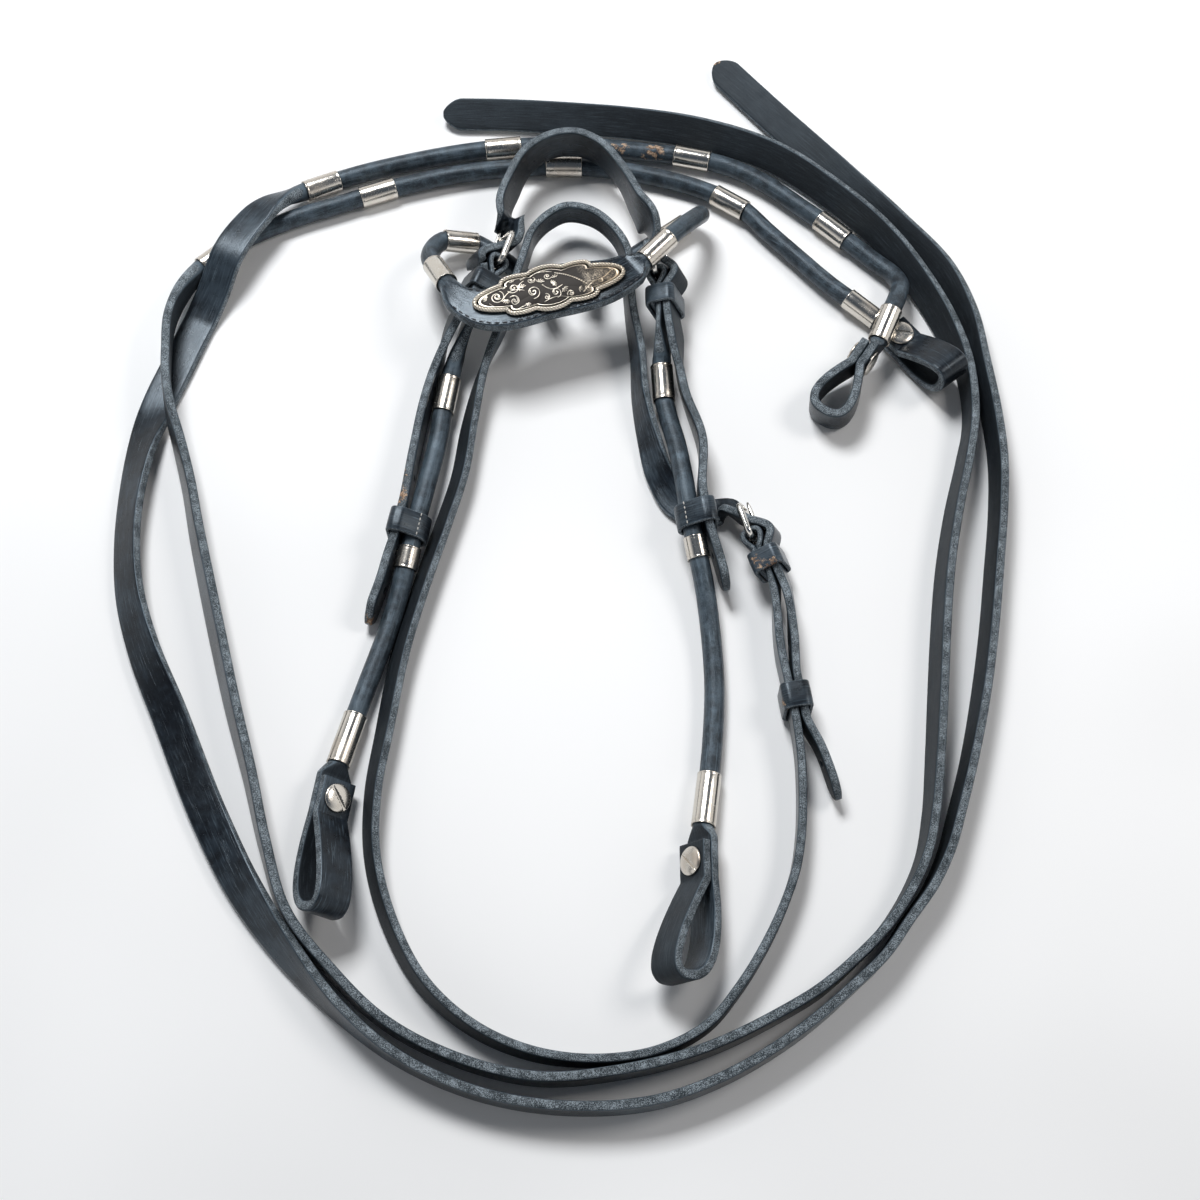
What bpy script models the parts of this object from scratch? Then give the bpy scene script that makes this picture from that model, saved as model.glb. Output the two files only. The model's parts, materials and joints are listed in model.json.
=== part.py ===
"""Western browband headstall of black leather with its matching pair of rolled split reins."""

import math

import bpy
import numpy as np

# Leather, metres.
STRAP_WIDTH = 0.016
STRAP_THICKNESS = 0.0042
EDGE_ROUND = 0.0011
REST_HEIGHT = 0.002
ROLL_DIAMETER = 0.009
SKIVED_THICKNESS = 0.0026
CROWN_WIDTH = 0.019
CROWN_THICKNESS = 0.004
BILLET_WIDTH = 0.0155
THROAT_WIDTH = 0.0135
THROAT_THICKNESS = 0.0038
BROWBAND_WIDTH = 0.027
BROWBAND_END_WIDTH = 0.0165
BROWBAND_THICKNESS = 0.0055
BAND_WAIST = 1.85
KEEPER_WALL = 0.0018
KEEPER_LENGTH = 0.013
KEEPER_SLIDE = 0.003
TIP_LENGTH = 0.010
HOLE_DIAMETER = 0.0034
HOLE_PITCH = 0.019
HOLE_COUNT = 4
FIRST_HOLE = 0.017

# Metal, metres.
FERRULE_WALL = 0.0005
FERRULE_RIM = 0.0007
FERRULE_LENGTH = 0.018
SHORT_FERRULE_LENGTH = 0.0105
LONG_FERRULE_LENGTH = 0.024
BUCKLE_WIRE = 0.003
BUCKLE_LENGTH = 0.017
THROAT_BUCKLE_LENGTH = 0.0155
BUCKLE_CORNER = 0.003
BILLET_RUN = 1.25
TONGUE_WIRE = 0.0019
SCREW_HEAD_DIAMETER = 0.0125
SCREW_HEAD_HEIGHT = 0.0016
POST_DIAMETER = 0.005
SHANK_DIAMETER = 0.0026
SLOT_WIDTH = 0.0014
SLOT_DEPTH = 0.0008
PLATE_LENGTH = 0.074
PLATE_HEIGHT = 0.025
PLATE_THICKNESS = 0.0016
PLATE_CROWN = 0.0016
PLATE_CUSPS = (-45, 45, 74, 106, 135, 225, 254, 286, 315)
LOBE_DEPTH = 0.0017
ROPE_DIAMETER = 0.0024
ROPE_TWISTS = 30
PLATE_SCREW_SPACING = 0.54 * PLATE_LENGTH

# Fits, metres.
GAP = 0.0003
SLIP = 0.0006
BIT_LOOP_LENGTH = 0.0415
BIT_LOOP_SWELL = 0.0105
REIN_LOOP_LENGTH = 0.028
REIN_LOOP_SWELL = 0.0095
LOOP_TAB = 0.019
REIN_LOOP_TAB = 0.0145
NECK_TAPER = 0.006
FOLD_LENGTH = 0.009
FOLD_SWELL = 0.0042
FOLD_TAB = 0.014
LOOP_LIFT = 1.25
SCREW_SHARE = 0.55

# Mesh spacing, metres.
EYE_STEP = 0.0045
ROLL_STEP = 0.015
STRAP_STEP = 0.026
FINE_STEP = 0.012
MM = 0.001

# Hand-chosen routes in millimetres and degrees: x, y, height of the centre, lean from upright.
# A positive lean tips the upper edge to the right-hand side of the direction of travel.
OUTER_ROLL_ROUTE = [
    (132.5, 128, 16, 0), (138, 141, 18.2, 0), (143, 153, 14.8, 0), (145.5, 164, 9.5, 0),
    (142.5, 172, 6.4, 0), (136, 178.5, 5.4, 0), (125, 189, 5.4, 0), (117, 197, 5.4, 0),
    (100, 212, 5.4, 0), (83, 226, 5.4, 0), (66, 236, 5.4, 0), (48, 242, 5.4, 0),
    (20, 246, 5.4, 0), (-10, 249.5, 5.4, 0), (-47, 248.5, 5.4, 0), (-71, 245, 5.4, 0),
    (-101, 238, 5.4, 0), (-121, 232, 5.4, 0), (-139, 225, 5.6, 0), (-151, 217.5, 8.5, -30),
]
OUTER_STRAP_ROUTE = [
    (-163, 207, 14, -70), (-173, 193, 15.5, -84), (-181, 177, 15.4, -90), (-188, 161, 7, -90),
    (-194.5, 146, 2.1, -90), (-203, 121, 2.1, -90), (-210, 99, 2.3, -88), (-214, 78, 5.2, -64),
    (-216, 55, 6.8, -52), (-216, 28, 7, -48), (-212, 0, 6.8, -52), (-203, -27, 6, -60),
    (-190, -55, 4.4, -75), (-167, -105, 3.6, -80), (-152, -132, 5.4, -64), (-131, -161, 7.4, -38),
    (-107, -187, 8.1, -14), (-82, -206, 8, -4), (-48, -220.5, 8, 0), (-11, -226, 8, 0),
    (25, -223, 8, 0), (48, -215, 8, 0), (72, -202, 8, 0), (87, -191.5, 8, 0),
    (103, -178, 8, 2), (117, -165, 8, 3), (128, -150, 8, 5), (139, -135, 8, 7),
    (147, -119, 8.1, 9), (152, -104, 8.1, 10), (160, -78, 8.2, 10), (167.5, -48, 8.2, 12),
    (173.5, -18, 8.2, 12), (178.5, 13, 8.2, 12), (183, 43, 8.2, 12), (185, 66, 8.2, 12),
    (184.5, 88, 8.2, 12), (181, 118, 8.2, 17), (176, 147, 8, 30), (167.5, 170, 7.6, 40),
    (145, 200.5, 7.4, 45), (121, 230, 5.9, 60), (88, 268.5, 5, 68), (60, 302, 4.8, 70),
]
INNER_ROLL_ROUTE = [
    (127, 151.5, 6.6, 60), (112, 165.5, 6.1, 30), (96, 183, 5.4, 30),
    (84, 196, 5.4, 0), (69, 212.5, 5.4, 0), (50, 223, 5.4, 0), (25, 231, 5.4, 0),
    (5, 235, 5.4, 0), (-15, 237, 5.4, 0), (-40, 236, 5.4, 0), (-66, 233, 5.4, 0),
    (-86, 228.5, 5.4, 0), (-108, 222, 5.4, 0), (-130, 213.5, 5.4, 0), (-149, 206.5, 5.4, 0),
    (-172, 195, 5.4, 0), (-185, 186, 5.6, 0),
]
INNER_STRAP_ROUTE = [
    (-192.5, 179, 6.2, 0), (-198.5, 168, 8.6, 0), (-203.5, 153, 12.4, -4), (-206, 139, 14, -6),
    (-205.5, 122, 14.5, -8), (-204, 106, 14.8, -9), (-200.5, 90, 14.8, -11), (-196, 75, 11, -15),
    (-190, 54, 8.6, -18), (-185, 33, 8.3, -20), (-177, 3, 8.3, -22), (-169, -26, 8.3, -22),
    (-161, -54, 8.3, -20), (-151, -86, 8.3, -16), (-142, -117.5, 8.2, -12), (-131, -147, 8.2, -8),
    (-110, -172, 8.1, -5), (-89, -191, 8, -2), (-60, -206, 8, 0), (-24, -214.5, 8, 0),
    (7, -212, 8, 0), (40, -204, 8, 0), (73, -189, 8, 0), (90, -179, 8, 0),
    (104.5, -167, 8, 2), (118.5, -153, 8, 3), (128.5, -139, 8, 5), (136.5, -123, 8, 7),
    (141.5, -103, 8.1, 9), (145, -78, 8.2, 12), (148.5, -48, 8.2, 14), (152, -18, 8.2, 14),
    (156.5, 13, 8.2, 14), (163, 43, 8.2, 14), (170, 69, 8.2, 12), (174, 87, 8.1, 8),
    (174.8, 104, 8.1, 8), (173, 121, 8.1, 12), (167.5, 138.5, 8.2, 23), (156.5, 164, 8, 30),
    (137.5, 195, 8, 32), (116.5, 217.5, 7.9, 33), (89, 240, 7.8, 36), (50, 256, 7.5, 42),
    (19, 262.5, 6.8, 50), (-12, 266, 6.3, 56), (-45, 268.5, 5.9, 60), (-80, 269.5, 5.6, 64),
]
LEFT_CHEEK_ROUTE = [
    (-59, 148, 20.5, -30), (-62.5, 138, 17.5, -26), (-66.5, 127, 12.5, -14), (-70, 116, 9.2, 0),
    (-73, 103, 7.3, 0), (-75.5, 80, 7.4, 0), (-80, 54, 9.6, 0),
    (-84.5, 31, 10.8, 0), (-87, 18, 9.4, 0), (-90.5, 0, 6.8, 0), (-94, -14, 5.5, 0),
    (-103.5, -46, 5.4, 0), (-110.5, -70, 5.8, 10), (-114.5, -87, 7.4, 50),
]
RIGHT_CHEEK_ROUTE = [
    (30.5, 141, 17.9, 22), (30, 131, 16, 20), (29.3, 119, 12, 12), (29, 107, 9.4, 0),
    (31.5, 92, 9.6, 0), (35.5, 74, 12, 0), (38.2, 56, 14.8, 0),
    (41, 34, 15.6, 0), (43.6, 20, 14, 0), (47, 2, 10, 0), (49.5, -20, 6.4, 0),
    (50.5, -45, 5.4, 0), (49, -70, 5.4, 0), (46, -96, 5.8, -8), (43.5, -115, 7.9, -39),
]
CROWN_ARCH_ROUTE = [
    (-47, 199, 20.6, -12), (-43, 214, 20.8, -8), (-36, 229, 20.9, -4), (-25, 238, 20.9, 0),
    (-12, 240, 20.9, 0), (0, 234, 20.9, 0), (10, 221, 20.9, 0), (18, 203, 20.8, -8),
    (24.5, 188, 20.6, -14),
]
THROAT_BUCKLE_ROUTE = [
    (77.8, 6.6, 11.7, 22), (78.8, 0, 10.4, 14), (79, -9, 9, 4), (79.5, -26, 8.6, 0),
    (83.5, -53, 9.6, 0), (85.5, -68, 9.4, 0), (86.5, -80, 8.2, 0),
]
THROAT_LOOP_ROUTE = [
    (86.5, -95, 7.2, 0), (85.5, -111, 6.8, 0), (82.5, -128, 6.8, 0), (77, -143, 6.8, 0),
    (68, -161, 6.8, 0), (57, -178, 6.8, 0), (44, -193, 6.8, 0), (25, -203, 6.8, 0),
    (0, -207, 6.8, 0), (-28, -204, 6.8, 4), (-50, -195, 6.9, 8), (-72, -177, 6.9, 14),
    (-88, -150, 6.9, 20), (-97, -118, 6.9, 24), (-97.5, -93, 6.9, 28), (-94, -66, 6.8, 32),
    (-88, -26, 6.8, 34), (-80, 6, 6.8, 34), (-72, 34, 6.8, 34), (-65, 60, 7, 32),
    (-61, 88, 8, 28), (-55, 116, 11, 14), (-46.5, 138, 15, 0), (-41, 157, 16.8, 0),
    (-36.5, 174, 16.9, 0), (-33, 186, 16.9, 0), (-25.5, 195.5, 16.9, 0), (-17, 200.5, 16.9, 0),
    (-4, 198, 16.9, 0), (6, 189, 16.9, 0), (12.5, 176, 16.9, -6), (13.5, 160, 16.5, -8),
    (15, 143, 14, -10), (18, 124, 10, -18), (19, 104, 7.6, -24), (23, 80, 6.9, -40),
    (29, 59, 4.4, -66), (36, 47, 2.3, -86), (45, 42, 2.1, -90), (53, 43, 2.2, -92),
    (58.5, 43, 5, -118),
]
BROWBAND_ROUTE = [
    (-26, 152, 22, -90), (-29, 160, 14, -70), (-34, 167, 6.4, -40), (-43, 177, 4.6, 0),
    (-51, 183.5, 5.2, 0), (-60, 189.5, 5.8, 0), (-69, 191.5, 8.5, 0), (-78, 185, 14, -20),
    (-82, 172, 20.5, -40),
    (-77.5, 160.5, 26, -60), (-71.5, 148.5, 31, -80), (-65.5, 138.5, 33.8, -90),
    (-56, 133.6, 34.5, -90), (-24, 142.3, 34.5, -90), (8, 151, 34.5, -90), (18.5, 158.5, 33.5, -90),
    (27.5, 167, 35.5, -80), (37, 178.5, 33, -60), (46.5, 192.5, 24, -40), (49, 201, 14, -20),
    (45, 202.5, 7.6, 0), (35, 195.5, 6, 0), (22.5, 187, 5.6, -20), (10, 178, 4.9, -50),
    (0, 169.5, 7.5, -75), (-5, 164, 14, -90), (-7, 158, 22, -90),
]

# Where the outer rein's first ferrule sits, millimetres, and the distances of each roll's
# ferrules from its first one, metres.
OUTER_FIRST_FERRULE = (135.97, 135.89, 17.96)
OUTER_FERRULES = (0.0, 0.079, 0.162, 0.258, 0.352)
INNER_FERRULES = (0.0, 0.089, 0.176, 0.271, 0.359)


def fresh_scene():
    """Clears the scene and makes the two collections."""
    for obj in list(bpy.data.objects):
        bpy.data.objects.remove(obj, do_unlink=True)
    part = bpy.data.collections.new("headstall")
    cutters = bpy.data.collections.new("cutters")
    for group in (part, cutters):
        bpy.context.scene.collection.children.link(group)
    cutters.hide_render = True
    return part, cutters


PART, CUTTERS = fresh_scene()
LAYOUT = bpy.data.objects.new("headstall_layout", None)
PART.objects.link(LAYOUT)


def material(name, colour, roughness, metallic):
    made = bpy.data.materials.new(name)
    made.use_nodes = True
    shader = made.node_tree.nodes["Principled BSDF"]
    shader.inputs["Base Color"].default_value = (*colour, 1.0)
    shader.inputs["Roughness"].default_value = roughness
    shader.inputs["Metallic"].default_value = metallic
    made.diffuse_color = (*colour, 1.0)
    return made


BLACK_LEATHER = material("black_leather", (0.022, 0.026, 0.034), 0.46, 0.0)
NICKEL = material("nickel", (0.66, 0.63, 0.57), 0.24, 1.0)
STEEL = material("buckle_steel", (0.72, 0.71, 0.68), 0.2, 1.0)
ANTIQUE_SILVER = material("antique_silver", (0.3, 0.29, 0.27), 0.34, 1.0)


def unit(vector):
    vector = np.asarray(vector, float)
    return vector / np.linalg.norm(vector)


def add_mesh(name, points, faces, finish, origin=(0.0, 0.0, 0.0), group=None):
    """An object from points in the layout's frame, with its origin where it turns or sits."""
    origin = np.asarray(origin, float)
    mesh = bpy.data.meshes.new(name)
    mesh.from_pydata([tuple(point) for point in np.asarray(points, float) - origin], [], faces)
    mesh.validate()
    obj = bpy.data.objects.new(name, mesh)
    obj.location = tuple(origin)
    obj.parent = LAYOUT
    (group or PART).objects.link(obj)
    if finish:
        own = finish.copy()
        own.name = name + "_finish"
        mesh.materials.append(own)
    return obj


def cut(obj, cutter):
    modifier = obj.modifiers.new("cut", "BOOLEAN")
    modifier.operation = "DIFFERENCE"
    modifier.solver = "EXACT"
    modifier.object = cutter


def bridge(rings, closed):
    """Quads between rings of equal count, with end caps on an open run."""
    count = len(rings[0])
    faces = []
    runs = len(rings) if closed else len(rings) - 1
    for ring in range(runs):
        low = ring * count
        high = ((ring + 1) % len(rings)) * count
        for k in range(count):
            following = (k + 1) % count
            faces.append((low + k, low + following, high + following, high + k))
    if not closed:
        faces.append(tuple(reversed(range(count))))
        faces.append(tuple(range(len(rings) * count - count, len(rings) * count)))
    return faces


class Rail:
    """A smooth centre line through chosen points, with the direction of a strap's width."""

    def __init__(self, stations):
        points = np.array([centre for centre, _ in stations], float)
        widths = np.array([width for _, width in stations], float)
        knots = np.concatenate([[0.0], np.cumsum(np.linalg.norm(np.diff(points, axis=0), axis=1))])
        grid = np.linspace(0.0, knots[-1], int(knots[-1] / MM) + 2)
        values = self.cubic(knots, np.hstack([points, widths]), grid)
        self.centre = values[:, :3]
        steps = np.linalg.norm(np.diff(self.centre, axis=0), axis=1)
        self.s = np.concatenate([[0.0], np.cumsum(steps)])
        tangent = np.gradient(self.centre, self.s, axis=0)
        self.tangent = tangent / np.linalg.norm(tangent, axis=1)[:, None]
        along = (values[:, 3:] * self.tangent).sum(axis=1)[:, None]
        width = values[:, 3:] - along * self.tangent
        self.width = width / np.linalg.norm(width, axis=1)[:, None]
        self.length = self.s[-1]
        self.held = []

    @staticmethod
    def cubic(knots, data, grid):
        """Cubic Hermite curve whose slopes weigh the two neighbouring spans."""
        span = np.diff(knots)[:, None]
        chord = np.diff(data, axis=0) / span
        slope = np.empty_like(data)
        slope[0] = chord[0]
        slope[-1] = chord[-1]
        slope[1:-1] = (chord[:-1] * span[1:] + chord[1:] * span[:-1]) / (span[1:] + span[:-1])
        cell = np.clip(np.searchsorted(knots, grid, side="right") - 1, 0, len(knots) - 2)
        width = span[cell]
        u = ((grid - knots[cell]) / width[:, 0])[:, None]
        start = (1 + 2 * u) * (1 - u) ** 2 * data[cell] + u * (1 - u) ** 2 * width * slope[cell]
        end = u * u * (3 - 2 * u) * data[cell + 1] - u * u * (1 - u) * width * slope[cell + 1]
        return start + end

    def hold(self, spans, resting=False):
        """Makes stretches straight, so that what is crimped or slipped on there fits, or lie level."""
        for start, end in spans:
            (first, _, width_a, _), (last, _, width_b, _) = self.at(start), self.at(end)
            width = width_a + width_b
            if resting:
                first, last = (np.append(place[:2], REST_HEIGHT) for place in (first, last))
                width = np.append(width[:2], 0.0)
            travel = unit(last - first)
            width = unit(width - (width @ travel) * travel)
            self.held.append((start, end, first, last, width))

    def at(self, s):
        """Centre, travel, width and side directions at a distance along the rail."""
        for start, end, first, last, width in self.held:
            if start <= s <= end:
                travel = unit(last - first)
                centre = first + (s - start) / (end - start) * (last - first)
                return centre, travel, width, np.cross(travel, width)
        centre = np.array([np.interp(s, self.s, self.centre[:, k]) for k in range(3)])
        travel = unit([np.interp(s, self.s, self.tangent[:, k]) for k in range(3)])
        width = np.array([np.interp(s, self.s, self.width[:, k]) for k in range(3)])
        width = unit(width - (width @ travel) * travel)
        return centre, travel, width, np.cross(travel, width)

    def nearest(self, point):
        """Distance along the rail of the point nearest to a place."""
        return self.s[np.argmin(np.linalg.norm(self.centre - point, axis=1))]


def route_stations(route):
    """Centres and width directions of a route that was chosen by hand."""
    points = np.array([point[:3] for point in route], float) * MM
    travel = np.gradient(points, axis=0)
    stations = []
    for point, ahead, lean in zip(points, travel, [math.radians(entry[3]) for entry in route]):
        flat = unit((ahead[0], ahead[1], 0.0))
        right = np.array((flat[1], -flat[0], 0.0))
        up = np.array((0.0, 0.0, 1.0))
        stations.append((point, math.cos(lean) * up + math.sin(lean) * right))
    return stations


def eye_stations(neck, forward, width, length, swell, tab, pitch, lift=0.0, hand=1):
    """A strap end that runs out from the neck, round an eye and back beside itself.

    The stations start at the cut end, and the neck is left out. The returning layer lies at
    the pitch to the hand's side, and lift is the share of the swell by which the whole eye
    bows to that side.
    """
    forward = unit(forward)
    width = unit(width - (width @ forward) * forward)
    side = hand * np.cross(forward, width)
    stations = []

    def place(run, offset):
        stations.append((neck + run * forward + offset * side, width))

    for run in np.linspace(0.12, 0.85, 3):
        place(run * tab, pitch)
    for angle in np.linspace(2 * math.pi, 0.0, 19):
        half = angle / 2
        run = tab + length * (1 - abs(math.cos(half)) ** 2.5)
        share = angle / (2 * math.pi)
        blend = share * share * (3 - 2 * share)
        offset = -swell * math.sin(angle) * math.sin(half) + pitch * blend
        place(run, offset + lift * swell * math.sin(half) ** 2)
    for run in (0.6, 0.2):
        place(run * tab, 0.0)
    return stations, side


def outline(width, thickness, corner, sides):
    """Rounded rectangle, as width and side offsets; it becomes a circle where all sizes meet."""
    per_corner = sides // 4
    corner = min(corner, width / 2, thickness / 2)
    ring = []
    for quarter in range(4):
        across = (width / 2 - corner) * (1 if quarter in (0, 3) else -1)
        through = (thickness / 2 - corner) * (1 if quarter in (0, 1) else -1)
        for k in range(per_corner):
            angle = (quarter + (k + 0.5) / per_corner) * math.pi / 2
            ring.append((across + corner * math.cos(angle), through + corner * math.sin(angle)))
    return np.array(ring)


class Profile:
    """Width, thickness and corner radius of a strap along its rail."""

    def __init__(self):
        self.keys = []

    def add(self, s, width, thickness, corner=EDGE_ROUND):
        self.keys.append((s, width, thickness, corner))
        return self

    def at(self, s):
        keys = sorted(self.keys)
        places = [key[0] for key in keys]
        return [float(np.interp(s, places, [key[k] for key in keys])) for k in (1, 2, 3)]


def loft(name, rail, profile, places, finish, sides=12, on_floor=True):
    """A strap swept along its rail at the given places."""
    rings = []
    for s in places:
        centre, _, width, side = rail.at(s)
        ring = centre + outline(*profile.at(s), sides) @ np.array([width, side])
        if on_floor:
            ring[:, 2] += max(0.0, -ring[:, 2].min())
        rings.append(ring)
    return add_mesh(name, np.vstack(rings), bridge(rings, False), finish)


def places_along(spans, straight=()):
    """Ring places from (start, end, step) spans, with none inside a straight stretch."""
    found = []
    for start, end, step in spans:
        count = max(1, round((end - start) / step))
        found += [start + (end - start) * k / count for k in range(count + 1)]
    for start, end in straight:
        found = [s for s in found if not start - 0.002 < s < end + 0.002]
        found += [start, end]
    found.sort()
    return [s for k, s in enumerate(found) if k == 0 or s - found[k - 1] > 0.0004]


def pointed(profile, end, width, thickness):
    """Keys of a tapered, blunt-pointed strap tip at the end of a rail."""
    profile.add(end - TIP_LENGTH, width, thickness)
    profile.add(end - 0.55 * TIP_LENGTH, 0.8 * width, thickness)
    profile.add(end - 0.18 * TIP_LENGTH, 0.5 * width, 0.94 * thickness)
    profile.add(end, 0.22 * width, 0.8 * thickness)
    return [end - share * TIP_LENGTH for share in (1.0, 0.55, 0.18, 0.0)]


def turned(name, start, axis, rows, sides, finish, ring_shaped=False, origin=None):
    """A solid of revolution from rows of (distance along the axis, radius)."""
    axis = unit(axis)
    across = unit(np.cross(axis, (0.31, 0.17, 0.93)))
    third = np.cross(axis, across)
    start = np.asarray(start, float)
    angles = [2 * math.pi * k / sides for k in range(sides)]
    circle = np.array([math.cos(angle) * across + math.sin(angle) * third for angle in angles])
    rings = [start + run * axis + radius * circle for run, radius in rows]
    origin = start if origin is None else origin
    return add_mesh(name, np.vstack(rings), bridge(rings, ring_shaped), finish, origin)


def cylinder_cutter(name, start, end, radius, sides=12):
    """A hidden cylinder that cuts a hole from one point to another."""
    start = np.asarray(start, float)
    run = np.asarray(end, float) - start
    cutter = turned(name, start, run, [(0.0, radius), (np.linalg.norm(run), radius)], sides, None)
    return hide(cutter)


def box_cutter(name, centre, axes, sizes):
    """A hidden box with its own three directions and full sizes."""
    corners = []
    for u in (-0.5, 0.5):
        for v, w in ((-0.5, -0.5), (0.5, -0.5), (0.5, 0.5), (-0.5, 0.5)):
            corners.append(centre + sum(k * size * axis for k, size, axis in zip((u, v, w), sizes, axes)))
    rings = [np.array(corners[:4]), np.array(corners[4:])]
    if np.dot(np.cross(axes[1], axes[2]), axes[0]) < 0:
        rings.reverse()
    return hide(add_mesh(name, np.vstack(rings), bridge(rings, False), None))


def hide(cutter):
    PART.objects.unlink(cutter)
    CUTTERS.objects.link(cutter)
    cutter.hide_render = True
    cutter.display_type = "WIRE"
    return cutter


def ferrule(name, rail, s, length):
    """A nickel tube with a bead at each end, crimped round a roll along its chord."""
    start = rail.at(s - length / 2)[0]
    end = rail.at(s + length / 2)[0]
    bore = ROLL_DIAMETER / 2 + GAP
    outer = bore + FERRULE_WALL
    run = np.linalg.norm(end - start)
    rows = [(0.0, bore), (0.0, outer - 0.25 * FERRULE_WALL), (FERRULE_RIM, outer)]
    rows += [(run - FERRULE_RIM, outer), (run, outer - 0.25 * FERRULE_WALL), (run, bore)]
    return turned(name, start, end - start, rows, 12, NICKEL, ring_shaped=True)


def hull(circles, grow, count=24):
    """Outline round circles of (width offset, side offset, radius), grown outwards."""
    ring = []
    for k in range(count):
        angle = 2 * math.pi * (k + 0.5) / count
        way = np.array([math.cos(angle), math.sin(angle)])
        far = max(circles, key=lambda circle: way @ circle[:2] + circle[2])
        ring.append(np.array(far[:2]) + (far[2] + grow) * way)
    return np.array(ring)


def slab(width, thickness, side):
    """Corner circles of a flat strap whose centre lies off the rail to one side."""
    across = width / 2 - EDGE_ROUND
    through = thickness / 2 - EDGE_ROUND
    return [(a * across, side + b * through, EDGE_ROUND) for a in (-1, 1) for b in (-1, 1)]


def keeper(name, frame, length, circles):
    """A flat leather band round the straps that pass through it."""
    middle, travel, width, side = frame
    plane = np.array([width, side])
    inner = hull(circles, SLIP) @ plane
    outer = hull(circles, SLIP + KEEPER_WALL) @ plane
    half = length / 2 * travel
    rings = [middle - half + outer, middle + half + outer, middle + half + inner, middle - half + inner]
    return add_mesh(name, np.vstack(rings), bridge(rings, True), BLACK_LEATHER, middle)


def chicago_screw(label, strap, spot, forward, side, stack):
    """A two-part leather screw through both layers at the neck of an eye."""
    low = spot - (STRAP_THICKNESS / 2 + GAP + SCREW_HEAD_HEIGHT) * side
    high = spot + (stack - STRAP_THICKNESS / 2 + GAP + SCREW_HEAD_HEIGHT) * side
    head = SCREW_HEAD_DIAMETER / 2
    post = POST_DIAMETER / 2
    bore = SHANK_DIAMETER / 2 + GAP
    top = SCREW_HEAD_HEIGHT + GAP + stack
    dome = [(0.0, 0.45 * head), (0.3 * SCREW_HEAD_HEIGHT, 0.78 * head)]
    dome += [(0.62 * SCREW_HEAD_HEIGHT, 0.98 * head), (SCREW_HEAD_HEIGHT, head)]
    rows = dome + [(SCREW_HEAD_HEIGHT, post), (top, post), (top, bore), (0.3 * top, bore)]
    turned(label + "_screw_post", low, side, rows, 14, NICKEL)
    rows = dome + [(SCREW_HEAD_HEIGHT, SHANK_DIAMETER / 2), (0.8 * top, SHANK_DIAMETER / 2)]
    screw = turned(label + "_screw", high, -side, rows, 14, NICKEL)
    across = np.cross(side, forward)
    slot = (unit(forward + across), unit(across - forward), side)
    sizes = (1.2 * SCREW_HEAD_DIAMETER, SLOT_WIDTH, 2 * SLOT_DEPTH)
    cut(screw, box_cutter(label + "_slot_cutter", high, slot, sizes))
    reach = 3 * STRAP_THICKNESS * side
    cut(strap, cylinder_cutter(label + "_hole_cutter", low - reach, high + reach, post + GAP))


def rein(label, neck, forward, width, eye_lift, rolled, strap_route, first, ferrules, resting=()):
    """One split rein: bit eye, rolled length with its ferrules, flat length and pointed tip."""
    pitch = STRAP_THICKNESS + GAP
    neck = np.array(neck) * MM
    forward = unit(forward)
    eye, side = eye_stations(neck, forward, np.array(width, float), REIN_LOOP_LENGTH,
                             REIN_LOOP_SWELL, REIN_LOOP_TAB, pitch, eye_lift)
    rail = Rail(eye + [(neck, eye[0][1])] + route_stations(rolled + strap_route))
    neck_s = rail.nearest(neck)
    origin = rail.nearest(np.array(first) * MM)
    crimps = [(origin + s - FERRULE_LENGTH / 2, origin + s + FERRULE_LENGTH / 2) for s in ferrules]
    flats = []
    if resting:
        ends = [rail.nearest(np.array(strap_route[k][:3]) * MM) for k in resting]
        middle = sum(ends) / 2
        flats.append((middle - 0.35 * (ends[1] - ends[0]), middle + 0.35 * (ends[1] - ends[0])))
    rail.hold(crimps)
    rail.hold(flats, resting=True)
    rolled_end = crimps[-1][1]
    flat_start = rolled_end + 2 * ROLL_STEP
    profile = Profile().add(0.0, STRAP_WIDTH, STRAP_THICKNESS)
    profile.add(neck_s, STRAP_WIDTH, STRAP_THICKNESS)
    for s in (min(neck_s + NECK_TAPER, crimps[0][0]), rolled_end):
        profile.add(s, ROLL_DIAMETER, ROLL_DIAMETER, ROLL_DIAMETER / 2)
    profile.add(flat_start, STRAP_WIDTH, STRAP_THICKNESS)
    tip = pointed(profile, rail.length, STRAP_WIDTH, STRAP_THICKNESS)
    spans = [(0.0, neck_s, EYE_STEP), (neck_s, crimps[0][0], NECK_TAPER / 2)]
    spans += [(crimps[0][1], rolled_end, ROLL_STEP), (rolled_end, flat_start, FINE_STEP)]
    spans += [(flat_start, tip[0], STRAP_STEP)]
    places = places_along(spans, crimps + flats) + tip[1:]
    strap = loft("rein_" + label, rail, profile, places, BLACK_LEATHER)
    for k, (start, end) in enumerate(crimps, 1):
        ferrule(f"rein_{label}_ferrule_{k}", rail, (start + end) / 2, FERRULE_LENGTH)
    spot = neck + SCREW_SHARE * REIN_LOOP_TAB * forward
    chicago_screw("rein_" + label, strap, spot, forward, side, pitch + STRAP_THICKNESS)


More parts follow.
